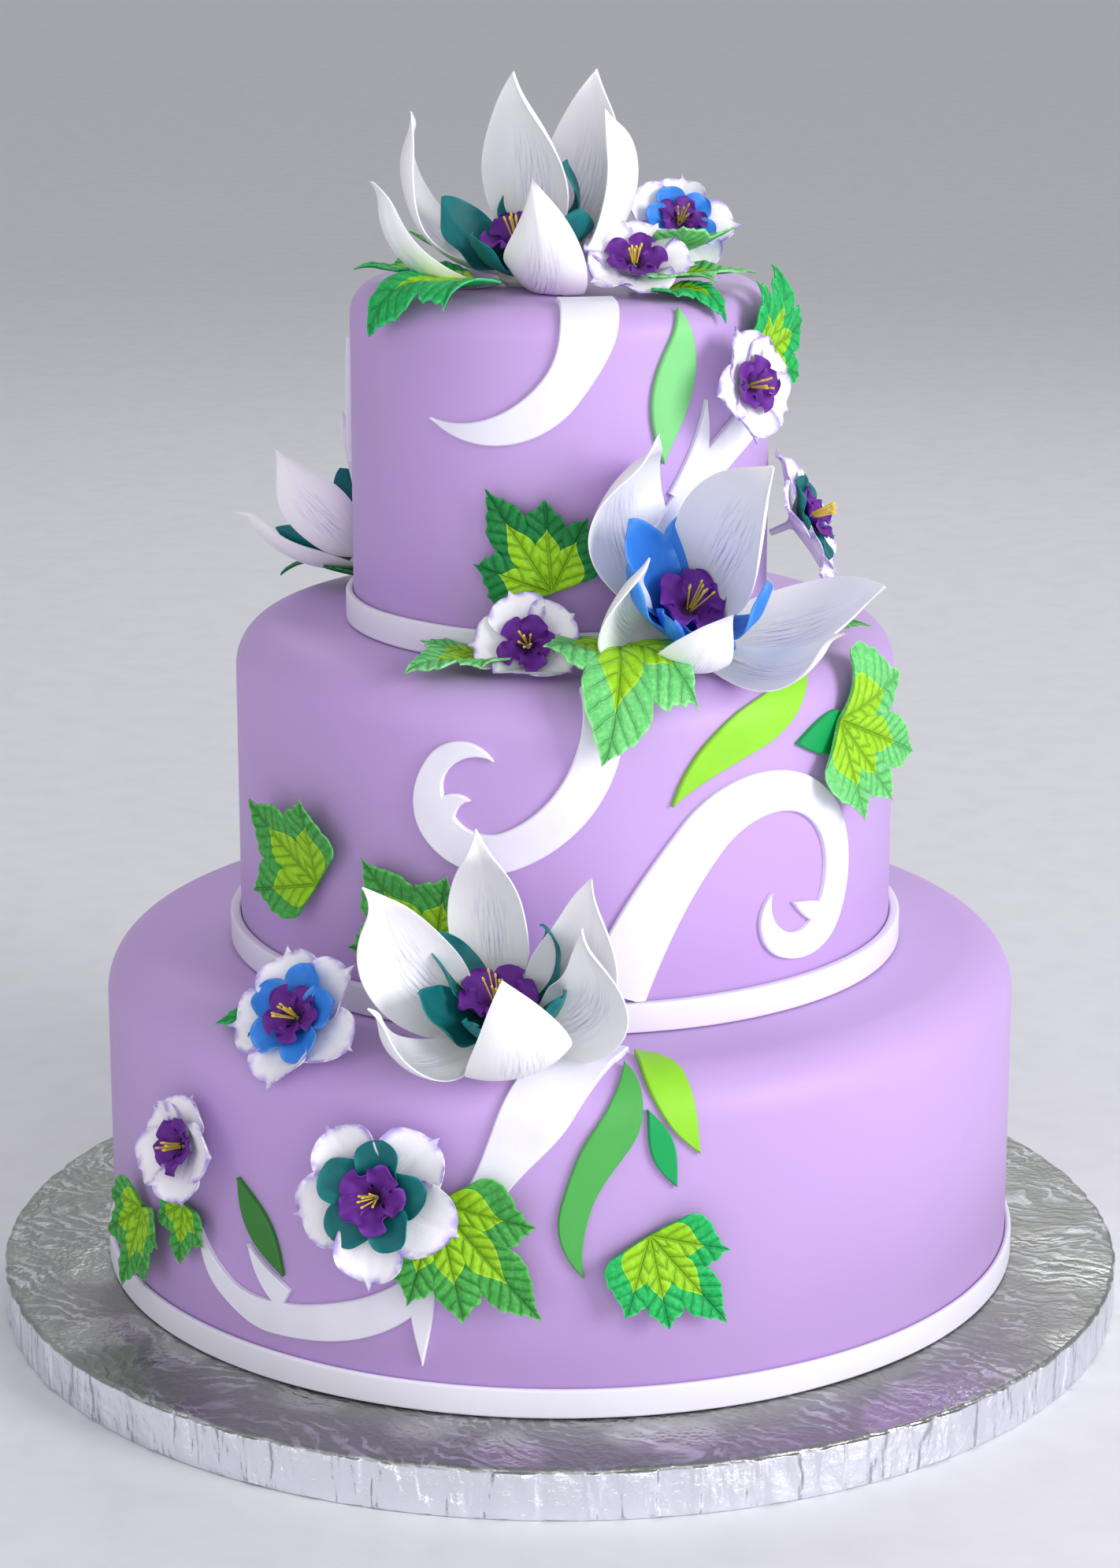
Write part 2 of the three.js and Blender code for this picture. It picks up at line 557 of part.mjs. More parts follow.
const STALK_REACH = 4; // beyond this radius a small flower is petals, which leaves lie under
const LEAF_ROOM = 3.4;
const WHORL_GAP = 0.6; // clear space between two whorls that are pressed against the cake
const RIM_TAPER = 0.01; // keeps the two rings of a thickened rim apart in radius
const STALK_GAP = 0.5;
const LOBES_ROUND = 5; // petals in an even ring
const CELLS_PER_LOBE = 2;
const LOBE_SHAPE = [1, 0.76]; // reach at a petal's tip and at a notch

/** Whether a ring belongs to an underside, which widens as it goes up. */
function widens(rings, number) {
  return number === 0 || rings[number - 1][0] < rings[number][0];
}

/** How many whorls lie under a ring. */
function whorlsUnder(rings, number) {
  const starts = rings.filter((_, ring) => (
    ring > 0 && ring <= number && widens(rings, ring) && !widens(rings, ring - 1)
  ));
  return starts.length;
}

/**
 * A solid of rings round the flower's axis, closed at both ends. Each ring is [radius,
 * height, lobed, spin]: lobed from 0 (round) to 1 (five pointed petals, first at spin).
 */
function lobedLoft(frame, rings, extra = 0) {
  const columns = LOBES_ROUND * CELLS_PER_LOBE;
  const rad = THREE.MathUtils.degToRad;
  return sheetLoft(columns, rings.length, (i, j) => {
    const [radius, height, lobed, spin] = rings[j];
    const cell = i + Math.round((spin * columns) / 360);
    const shape = LOBE_SHAPE[((cell % CELLS_PER_LOBE) + CELLS_PER_LOBE) % CELLS_PER_LOBE];
    const reach = radius * (1 - lobed * (1 - shape));
    const spoke = rad((360 / columns) * i);
    const out = frame.top.clone().multiplyScalar(Math.cos(spoke)).addScaledVector(frame.side, Math.sin(spoke));
    const point = frame.base.clone().addScaledVector(out, reach).addScaledVector(frame.look, height);
    const stacked = whorlsUnder(rings, j) * (PETAL + WHORL_GAP + 2 * extra);
    const lowest = (radius > STALK_REACH ? LEAF_ROOM : STALK_GAP) + stacked;
    return clearOfCake(point, widens(rings, j) ? lowest - extra : lowest + PETAL + extra);
  });
}

/** A closed skin over rings of corners: place(i, j) is corner i of ring j. */
function sheetLoft(columns, rings, place) {
  const corners = [];
  for (let j = 0; j < rings; j += 1) {
    for (let i = 0; i < columns; i += 1) {
      corners.push(place(i, j));
    }
  }
  const at = (i, j) => j * columns + (i % columns);
  const faces = [];
  for (let i = 0; i < columns; i += 1) {
    for (let j = 0; j + 1 < rings; j += 1) {
      faces.push([at(i, j), at(i + 1, j), at(i + 1, j + 1)], [at(i, j), at(i + 1, j + 1), at(i, j + 1)]);
    }
  }
  return solidGeometry(corners, faces);
}

/** Rings of one whorl: out along its underside to a thin rim and back over it to the core. */
function whorlRings(core, reach, height, rise, spin) {
  return [
    [reach * 0.54, height + rise * 0.42, 0.5, spin],
    [reach, height + rise + PETAL / 2, 1, spin],
    [reach * 0.52, height + rise * 0.42 + PETAL, 0.5, spin],
    [core, height + PETAL, 0, 0],
  ];
}

/** Rings of the stamens, closed at their tip. */
function stamenRings(core, from, to) {
  return [[core, from, 0, 0], [core * 0.8, to, 0, 0], [0, to, 0, 0]];
}

/** Where a flower stands and its own axes. */
function flowerFrame({ tier, at, rise, face = at[0] }) {
  return { base: skinPoint(tier, ...at), ...flowerAxes(face, rise) };
}

/** The solid of a large flower's white petals and cup, made thicker by extra all round. */
function outerSolid(flower, extra = 0) {
  const frame = flowerFrame(flower);
  const cup = spindle(frame, -3 - extra, 2.6 + extra, 9 + extra, 9.5 + extra);
  return fuse([...whorl(frame, flower.outer, OUTER, extra), cup]);
}

/** The room a large flower's white petals take up, with CLEARANCE round them. */
function outerRoomOf(flower) {
  return outerSolid(flower, CLEARANCE).add(outerSolid(flower));
}

/** A large flower as three nested solids: white petals, coloured petals, purple centre. */
function flowerSolids(flower) {
  const frame = flowerFrame(flower);
  const outerRoom = outerRoomOf(flower);
  const innerCup = spindle(frame, 3.4, 7, 7, 6.5);
  const inner = fuse([...whorl(frame, flower.petals, INNER), innerCup]);
  const innerRoom = fuse([...whorl(frame, flower.petals, INNER, CLEARANCE), spindle(frame, 3, 7.4, 7.4, 7)]);
  const centre = toManifold(lobedLoft(frame, [
    [0, 8.6, 0, 0], [3, 8.6, 0, 0], [3, 11, 0, 0], ...whorlRings(3, 14, 11, 9, 20), ...stamenRings(1.6, 15, 30),
  ]));
  return {
    outer: toGeometry(clearOf(tierRooms, outerSolid(flower))),
    inner: toGeometry(clearOf([outerRoom, ...tierRooms], inner)),
    centre: toGeometry(clearOf([innerRoom, outerRoom], centre)),
  };
}

/** Cuts a solid clear of the rooms it reaches into, keeping its largest body. */
function clearOf(rooms, solid) {
  const near = rooms.filter((room) => !solid.intersect(room).isEmpty());
  return near.length ? largestBody(near.reduce((rest, room) => rest.subtract(room), solid)) : solid;
}

/** A small flower in one solid: petals, inner whorl where there is one, centre and stalk. */
function blossomGeometry(blossom, extra = 0) {
  const { stalk, inner, scale = 1 } = blossom;
  const spin = HOUR * blossom.hour;
  const size = BLOSSOM_SIZES[inner] * scale;
  const isPlain = inner === 'plain';
  const rings = [
    [0, -stalk - 2, 0, 0], [1.5, -stalk - 2, 0, 0], [2.4, 0, 0, 0],
    ...whorlRings(2.7, size, 0, 6.5, spin),
    ...(isPlain ? [] : whorlRings(2.3, size * 0.62, 3.4, 5, spin + 36)),
    ...whorlRings(2, size * (isPlain ? 0.48 : 0.38), isPlain ? 4.4 : 7, 5, spin + 12),
    ...stamenRings(1.1, isPlain ? 7 : 10, size * 0.62),
  ];
  return lobedLoft(flowerFrame(blossom), extra ? thickened(rings, extra) : rings, extra);
}

/** Rings moved out by extra: those of the underside sink, the others rise, and a rim does both. */
function thickened(rings, extra) {
  return rings.flatMap(([radius, height, lobed, spin], number) => {
    const reach = radius ? radius + extra : 0;
    const under = [reach, height - extra, lobed, spin];
    const over = [reach, height + extra, lobed, spin];
    if (!widens(rings, number)) {
      return [over];
    }
    const isRim = number + 1 < rings.length && !widens(rings, number + 1);
    return isRim ? [under, [reach - RIM_TAPER, ...over.slice(1)]] : [under];
  });
}

// ---------------------------------------------------------------- assembly

const cake = new THREE.Group();

function addPiece(name, geometry, colour, roughness = 0.6, metalness = 0) {
  const material = new THREE.MeshStandardMaterial({ color: colour, roughness, metalness });
  const mesh = new THREE.Mesh(geometry, material);
  mesh.name = name;
  cake.add(mesh);
  return mesh;
}

function addTiers() {
  addPiece('cake_drum', drumGeometry(), COLOURS.foil, 0.3, 0.9);
  for (const [name, tier] of Object.entries(TIERS)) {
    const pieces = [
      addPiece(`tier_${name}`, tierGeometry(tier), COLOURS.lilac),
      addPiece(`border_${name}`, borderGeometry(tier), COLOURS.white),
    ];
    pieces.forEach((piece) => piece.position.set(tier.centreX, 0, tier.foot));
  }
}

/** Adds a piece cut clear of the tiers and of the large flowers' white petals. */
function addClear(name, geometry, colour, rooms = []) {
  addPiece(name, toGeometry(clearOf([...tierRooms, ...flowerRooms, ...rooms], toManifold(geometry))), colour);
}

function addTrim() {
  for (const [name, scroll] of Object.entries(SCROLLS)) {
    addClear(name, scrollGeometry(scroll), COLOURS.white);
  }
  for (const [name, leaf] of Object.entries(FLAT_LEAVES)) {
    addClear(name, ribbonGeometry(leaf.tier, leaf), leaf.colour);
  }
  for (const [name, leaf] of Object.entries(IVY)) {
    addClear(name, ivyGeometry(leaf), COLOURS.ivy, blossomRooms);
  }
}

function addFlowers() {
  for (const [name, flower] of Object.entries(FLOWERS)) {
    const solids = flowerSolids(flower);
    addPiece(`${name}_petals`, solids.outer, COLOURS.white);
    addPiece(`${name}_inner`, solids.inner, COLOURS[flower.inner]);
    addPiece(`${name}_centre`, solids.centre, COLOURS.purple);
  }
  for (const [name, blossom] of Object.entries(BLOSSOMS)) {
    addClear(name, blossomGeometry(blossom), COLOURS.white);
  }
}

const tierRooms = Object.values(TIERS).map(tierRoom);
const flowerRooms = Object.values(FLOWERS).map(outerRoomOf);
const blossomRooms = Object.values(BLOSSOMS).map((blossom) => (
  toManifold(blossomGeometry(blossom, 2 * CLEARANCE))
));
addTiers();
addTrim();
addFlowers();

export default cake;
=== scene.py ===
"""A three-tier wedding cake on its foil-covered drum, dressed with sugar flowers, ivy and paste scrolls.

Sizes are worked out in millimetres and made into meshes in metres, +Z up, with the front of the
cake towards -Y. Places on a tier are given by "turn", the compass angle about its axis in degrees
(0 at the front, positive towards +X), and "climb", the distance from the tier's foot up its side,
over the rounded edge and in across its top.
"""

import logging
import math
from dataclasses import dataclass, field
from enum import Enum
from typing import Any, Sequence

import bmesh
import bpy
import numpy as np
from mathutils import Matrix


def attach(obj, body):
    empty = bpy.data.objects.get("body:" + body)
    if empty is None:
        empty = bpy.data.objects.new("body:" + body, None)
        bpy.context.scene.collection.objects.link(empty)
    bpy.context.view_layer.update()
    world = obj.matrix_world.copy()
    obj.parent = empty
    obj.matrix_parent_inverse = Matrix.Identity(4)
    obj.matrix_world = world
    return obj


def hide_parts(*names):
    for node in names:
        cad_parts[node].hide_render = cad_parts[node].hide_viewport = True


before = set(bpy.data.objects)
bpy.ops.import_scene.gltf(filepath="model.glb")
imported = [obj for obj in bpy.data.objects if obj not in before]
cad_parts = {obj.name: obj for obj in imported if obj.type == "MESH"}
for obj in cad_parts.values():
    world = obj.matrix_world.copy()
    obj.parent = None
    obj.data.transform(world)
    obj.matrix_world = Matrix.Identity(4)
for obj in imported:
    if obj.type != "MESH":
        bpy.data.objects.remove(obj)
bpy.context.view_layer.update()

log = logging.getLogger("cake")
Array = np.ndarray
Colour = tuple[int, int, int]
BODY = "root"
MM = 0.001
FLOOR = 28_000.0  # side of the studio floor
HOUR = 30.0  # degrees of an hour on a flower's clock face
FIFTH = 72.0  # degrees between five petals


# ---------------------------------------------------------------- node graphs


def paint(colour: Colour) -> tuple[float, float, float, float]:
    """Turns a screen colour from 0 to 255 into the linear colour that a shader takes.

    Args:
        colour: red, green and blue.

    Returns:
        Linear red, green, blue and an alpha of 1.
    """
    shares = [c / 255 for c in colour]
    linear = [s / 12.92 if s <= 0.04045 else ((s + 0.055) / 1.055) ** 2.4 for s in shares]
    return (*linear, 1.0)


class Value:
    """A number in a node graph. Python's operators on it add Math nodes."""

    def __init__(self, graph: "Graph", socket: bpy.types.NodeSocket) -> None:
        """Wraps an output socket of a graph."""
        self.graph = graph
        self.socket = socket

    def _math(self, operation: str, first: Any, second: Any) -> "Value":
        """Adds a Math node over two numbers."""
        return self.graph.node("ShaderNodeMath", {"operation": operation}, {0: first, 1: second})

    def __add__(self, other: Any) -> "Value":
        """Sum."""
        return self._math("ADD", self, other)

    __radd__ = __add__

    def __sub__(self, other: Any) -> "Value":
        """Difference."""
        return self._math("SUBTRACT", self, other)

    def __rsub__(self, other: Any) -> "Value":
        """Difference, turned round."""
        return self._math("SUBTRACT", other, self)

    def __mul__(self, other: Any) -> "Value":
        """Product."""
        return self._math("MULTIPLY", self, other)

    __rmul__ = __mul__

    def most(self, other: Any) -> "Value":
        """The larger of this and another number."""
        return self._math("MAXIMUM", self, other)

    def wave(self) -> "Value":
        """Sine of this number, in radians."""
        return self._math("SINE", self, 0.0)

    def step(self, low: float, high: float) -> "Value":
        """A smooth step from 0 at low to 1 at high; turned round where low is the larger."""
        start, end, first, last = (low, high, 0.0, 1.0) if low < high else (high, low, 1.0, 0.0)
        return self.graph.node(
            "ShaderNodeMapRange", {"interpolation_type": "SMOOTHSTEP"},
            {0: self, 1: start, 2: end, 3: first, 4: last},
        )


class Graph:
    """A tree of nodes, for a material or for geometry."""

    def __init__(self, tree: bpy.types.NodeTree) -> None:
        """Takes over an empty tree."""
        self.tree = tree

    def node(self, kind: str, settings: dict | None = None, sockets: dict | None = None,
             output: int | str = 0) -> Value:
        """Adds a node.

        Args:
            kind: the node's type.
            settings: its properties, set first.
            sockets: its inputs by index or name, each a number, colour or Value.
            output: which output to return.

        Returns:
            The chosen output.
        """
        made = self.tree.nodes.new(kind)
        for key, value in (settings or {}).items():
            setattr(made, key, value)
        for key, value in (sockets or {}).items():
            for part in value if isinstance(value, list) else [value]:
                if isinstance(part, Value):
                    self.tree.links.new(part.socket, made.inputs[key])
                else:
                    made.inputs[key].default_value = part
        return Value(self, made.outputs[output])


class Surface(Graph):
    """A material's graph round one Principled shader."""

    def __init__(self, name: str, constants: dict[str, float]) -> None:
        """Makes the material; constants go straight on the shader's sockets."""
        self.material = bpy.data.materials.new(name)
        self.material.use_nodes = True
        super().__init__(self.material.node_tree)
        self.tree.nodes.clear()
        self.shader = self.tree.nodes.new("ShaderNodeBsdfPrincipled")
        end = self.tree.nodes.new("ShaderNodeOutputMaterial")
        self.tree.links.new(self.shader.outputs[0], end.inputs[0])
        for key, value in constants.items():
            self.shader.inputs[key].default_value = value

    def feed(self, socket: str, value: Value) -> None:
        """Links a value to a socket of the shader."""
        self.tree.links.new(value.socket, self.shader.inputs[socket])

    def blend(self, first: Any, second: Any, share: Any) -> Value:
        """Blends two colours by a share from 0 to 1.

        Args:
            first: the colour at 0, a Colour or a Value.
            second: the colour at 1.
            share: the share.

        Returns:
            The blended colour.
        """
        ends = [paint(c) if isinstance(c, tuple) else c for c in (first, second)]
        return self.node(
            "ShaderNodeMix", {"data_type": "RGBA", "clamp_factor": True},
            {0: share, 6: ends[0], 7: ends[1]}, 2,
        )

    def mark(self, name: str) -> Value:
        """A number that the mesh carries at its corners."""
        return self.node("ShaderNodeAttribute", {"attribute_name": name}, {}, "Fac")

    def noise(self, size_mm: float, detail: float = 3.0, stretch: Sequence[float] = (1, 1, 1)) -> Value:
        """Cloudy noise from 0 to 1.

        Args:
            size_mm: how far apart its blotches are.
            detail: how fine it goes.
            stretch: how many times closer together the blotches are along X, Y and Z.

        Returns:
            The noise.
        """
        place = self.node("ShaderNodeTexCoord", {}, {}, "Object")
        scaled = self.node("ShaderNodeMapping", {}, {"Vector": place, "Scale": tuple(stretch)})
        return self.node(
            "ShaderNodeTexNoise", {},
            {"Vector": scaled, "Scale": 1 / (size_mm * MM), "Detail": detail, "Roughness": 0.55},
        )

    def bump(self, height: Value, depth_mm: float) -> None:
        """Feeds a relief of the given depth to the shader's normal."""
        normal = self.node(
            "ShaderNodeBump", {}, {"Height": height, "Distance": depth_mm * MM, "Strength": 1.0},
        )
        self.feed("Normal", normal)


# ---------------------------------------------------------------- finishes


@dataclass(frozen=True)
class Finish:
    """A plain matt finish of rolled paste: the base of every other finish."""

    name: str
    colour: Colour
    roughness: float = 0.5
    mottle: float = 0.06
    slot: str = ""

    def constants(self) -> dict[str, float]:
        """Numbers that go straight on the shader."""
        return {"Specular IOR Level": 0.4}

    def dress(self, surface: Surface) -> None:
        """Builds the finish's colour, roughness and relief."""
        cloud = surface.noise(24, 2)
        darker = tuple(int(c * (1 - 2 * self.mottle)) for c in self.colour)
        surface.feed("Base Color", surface.blend(self.colour, darker, cloud.step(0.35, 0.8)))
        surface.feed("Roughness", self.roughness + 0.1 * surface.noise(3, 4))
        surface.bump(surface.noise(1.6, 3) * 0.5 + surface.noise(9, 2), 0.12)

    def material(self) -> bpy.types.Material:
        """The finish as a material, made once."""
        label = f"{self.name}_finish"
        known = bpy.data.materials.get(label)
        if known:
            return known
        surface = Surface(label, self.constants())
        self.dress(surface)
        return surface.material


@dataclass(frozen=True)
class Icing(Finish):
    """Rolled sugar icing drawn over a tier: very smooth, with the faint unevenness of a hand polish."""

    def constants(self) -> dict[str, float]:
        """A soft sheen under a faint gloss."""
        return {"Specular IOR Level": 0.35, "Sheen Weight": 0.08, "Sheen Roughness": 0.5}

    def dress(self, surface: Surface) -> None:
        """Two close tones of icing with shallow hand-smoothed waves."""
        tone = surface.noise(120, 1).step(0.3, 0.75)
        deeper = tuple(int(c * 0.965) for c in self.colour)
        surface.feed("Base Color", surface.blend(self.colour, deeper, tone))
        surface.feed("Roughness", self.roughness + 0.06 * surface.noise(2, 3))
        surface.bump(surface.noise(60, 1) * 3.0 + surface.noise(0.8, 2) * 0.12, 0.16)


@dataclass(frozen=True)
class PetalPaint(Finish):
    """Hand-thinned sugar petals: coloured at the root, streaked along the middle and tinted at the rim; on
    the purple centres the near-black root is painted shade and the lighter rim a painted sheen.
    """

    root: Colour = (200, 205, 190)
    streak: Colour = (190, 180, 215)
    rim: Colour = (235, 230, 245)
    streak_share: float = 0.5
    root_share: float = 0.6
    rim_share: float = 0.5

    def dress(self, surface: Surface) -> None:
        """Blends a root colour, fine lengthwise streaks and the rim's tint over the petal's colour; on the
        purple the root colour is painted shade and the rim's tint a painted sheen.
        """
        along, across = surface.mark("along"), surface.mark("across")
        grain = surface.node(
            "ShaderNodeTexNoise", {},
            {"Vector": surface.node("ShaderNodeCombineXYZ", {}, {0: across * 6.0, 1: along * 1.4}),
             "Scale": 3.0, "Detail": 4.0, "Roughness": 0.6},
        )
        middle = across.step(0.6, 0.05) * along.step(0.12, 0.32) * along.step(0.8, 0.45)
        brushed = grain.step(0.44, 0.66) * middle * self.streak_share
        body = surface.blend(self.colour, self.streak, brushed)
        # Blends in the root colour towards the root; on the purple centres it is painted shade deep in the
        # flower.
        root_colour_and_shade = surface.blend(body, self.root, along.step(0.42, 0.02) * self.root_share)
        edge = across.step(0.72, 1.0).most(along.step(0.84, 1.0))
        # Cloudy tint at the rim; on the purple it is a painted sheen on the petals' edges.
        rim_tint_and_sheen = edge * surface.noise(5, 2).step(0.3, 0.62)
        surface.feed("Base Color", surface.blend(root_colour_and_shade, self.rim, rim_tint_and_sheen * self.rim_share))
        surface.feed("Roughness", self.roughness + 0.12 * grain)
        surface.bump(grain * 0.7 + surface.noise(2.2, 3) * 0.4, 0.16)


@dataclass(frozen=True)
class LeafPaint(Finish):
    """A pressed sugar leaf: sunken ribs and side veins, puffed between them, with painted shade in the
    valleys beside them and a paler cut edge painted as light showing through the thin paste.
    """

    # The vein colour also paints the shade in the valleys beside the ribs and side veins.
    vein_and_shade: Colour = (40, 90, 20)
    # The light colour is the dust between the veins and, at the rim, painted light showing through the thin
    # cut edge.
    light: Colour = (140, 220, 120)
    spacing: float = 5.2

    def dress(self, surface: Surface) -> None:
        """Paints the ribs and the side veins, dusts what lies between them, paints shade in the valleys
        beside the ribs and veins and light at the thin rim, and presses them in.
        """
        grown, rib, run = surface.mark("grown"), surface.mark("rib"), surface.mark("run")
        sway = surface.noise(7, 2) * 2.4
        ridge = ((run - rib * 0.85 + sway) * (math.tau / self.spacing)).wave()
        side = ridge.step(0.8, 0.99) * rib.step(0.15, 0.8) * rib.step(11.0, 6.0)
        middle = rib.step(0.75, 0.12)
        inked = side.most(middle)
        dusted = surface.blend(self.colour, self.light, surface.noise(1.7, 5).step(0.38, 0.72) * 0.55)
        # Painted shade: darker along each rib and on one side of each side vein, where the pressed valleys
        # lie.
        painted_valley_shade = rib.step(3.4, 0.0) * 0.2 + ridge.step(-0.2, 0.9) * 0.08
        shaded = surface.blend(dusted, self.vein_and_shade, painted_valley_shade + inked * 0.2)
        # Painted light: the paler rim stands in for light showing through the thin cut edge.
        surface.feed("Base Color", surface.blend(shaded, self.light, grown.step(0.965, 0.99) * 0.75))
        surface.feed("Roughness", self.roughness + 0.1 * surface.noise(2, 3))
        puff = ridge.step(1.0, -0.6) * rib.step(0.0, 2.5) * 0.6
        surface.bump(puff + (1.0 - inked) * 0.8 + surface.noise(0.9, 3) * 0.3, 0.5)


@dataclass(frozen=True)
class Foil(Finish):
    """Silver foil embossed with feathery leaves and beaded patches, creased where it is wrapped. Top and side
    are one foil: the side keeps its bright silver and the top's darker grey is painted shade.
    """

    # The foil's own bright silver, kept on the side; the top's darker grey is painted shade.
    side: Colour = (240, 240, 248)

    def constants(self) -> dict[str, float]:
        """Bare metal."""
        return {"Metallic": 1.0}

    def dress(self, surface: Surface) -> None:
        """Presses feathered leaves, beads and creases into the metal, and paints the top a darker grey than
        the side as shade.
        """
        place = surface.node("ShaderNodeTexCoord", {}, {}, "Object")
        sway = surface.node(
            "ShaderNodeTexNoise", {}, {"Vector": place, "Scale": 17.0, "Detail": 1.0}, "Color",
        )
        bent = surface.node(
            "ShaderNodeVectorMath", {"operation": "MULTIPLY_ADD"}, {0: sway, 1: (0.05, 0.05, 0.02), 2: place},
        )
        feathers = surface.node(
            "ShaderNodeTexWave", {"wave_type": "BANDS", "bands_direction": "DIAGONAL"},
            {"Vector": bent, "Scale": 64.0, "Distortion": 7.0, "Detail": 3.0, "Detail Scale": 2.2}, 1,
        )
        leaf = surface.node(
            "ShaderNodeTexVoronoi", {"feature": "SMOOTH_F1"},
            {"Vector": bent, "Scale": 24.0, "Smoothness": 0.3},
        ).step(0.28, 0.5)
        beads = surface.node("ShaderNodeTexVoronoi", {"feature": "F1"}, {"Vector": place, "Scale": 420.0})
        patch = surface.noise(34, 1).step(0.52, 0.6)
        creases = surface.noise(9, 5, (1, 1, 0.35))
        folds = surface.noise(16, 3, (1, 1, 0.25)).step(0.44, 0.56) + surface.noise(5, 4)
        pressed = feathers * 0.4 * (1.0 - patch) + leaf * 0.5 + beads * patch * 0.6 + creases * 1.4
        # Mask of the side, which keeps the bright silver; the top keeps the darker grey painted as shade.
        side = surface.node("ShaderNodeSeparateXYZ", {}, {0: place}, 2).step(0.0196, 0.0185)
        # Darker inside the embossed leaves.
        leaf_darkened = surface.blend(self.colour, tuple(int(c * 0.8) for c in self.colour), leaf * 0.6)
        fields = surface.noise(26, 3).step(0.42, 0.62)
        top = surface.blend(leaf_darkened, (222, 222, 230), feathers.step(0.5, 0.95) * fields * 0.6)
        surface.feed("Base Color", surface.blend(top, self.side, side))
        surface.feed("Roughness", self.roughness + 0.2 * leaf * (1.0 - side) + 0.12 * surface.noise(3, 3))
        surface.bump(pressed * (1.0 - side) + folds * side * 2.2, 0.55)


class Green(Enum):
    """Margins of the ivy leaves, from pale to deep, each as (body, colour of the veins and of the painted
    shade beside them, pale colour of the dust and of the painted light at the rim).
    """

    PALE = ((96, 196, 104), (30, 124, 52), (150, 224, 150))
    MID = ((58, 158, 62), (18, 84, 26), (104, 196, 100))
    FRESH = ((0, 168, 78), (0, 104, 52), (60, 208, 120))
    DEEP = ((0, 118, 52), (0, 66, 34), (18, 152, 72))


LILAC = Icing("icing_lilac", (196, 162, 222), 0.46, slot="fondant_lilac")
WHITE_BAND = Icing("icing_white", (236, 232, 246), 0.45, slot="fondant_white")
WHITE_PASTE = Finish("paste_white", (238, 235, 248), 0.46, 0.015, slot="paste_white")
# The top's darker grey is painted shade; the side takes the foil's brighter silver.
SILVER = Foil("drum_foil", (176, 177, 174), 0.18, slot="drum_foil")
WHITE_PETAL = PetalPaint(
    "petal_white", (250, 248, 252), 0.46, slot="petal_white", root=(184, 192, 170), streak=(146, 134, 208),
    rim=(250, 248, 253), streak_share=0.6, root_share=0.6,
)
TEAL_PETAL = PetalPaint(
    "petal_teal", (0, 106, 110), 0.5, slot="petal_teal", root=(0, 48, 54), streak=(0, 78, 86),
    rim=(16, 140, 142), root_share=0.9,
)
BLUE_PETAL = PetalPaint(
    "petal_blue", (46, 130, 226), 0.5, slot="petal_blue", root=(14, 50, 148), streak=(20, 92, 204),
    rim=(112, 176, 242), root_share=0.9,
)
# Its near-black root is painted shade in the heart of the centre, and its lighter rim a painted sheen.
PURPLE_PETAL = PetalPaint(
    "petal_purple", (98, 30, 142), 0.55, slot="petal_purple", root=(28, 4, 50), streak=(68, 14, 104),
    rim=(128, 54, 168), root_share=0.95,
)
BLOSSOM_PETAL = PetalPaint(
    "blossom_white", (246, 243, 250), 0.5, slot="blossom_white", root=(200, 196, 218),
    streak=(214, 206, 232), rim=(148, 116, 214), streak_share=0.5, root_share=0.6, rim_share=0.85,
)
HEART = LeafPaint("ivy_heart", (142, 204, 6), 0.5, slot="ivy_green", vein_and_shade=(74, 122, 0), light=(186, 226, 50))
STAMEN = Finish("stamen_yellow", (236, 208, 70), 0.6, 0.12)
INNER = {"teal": TEAL_PETAL, "blue": BLUE_PETAL}


# ---------------------------------------------------------------- meshes


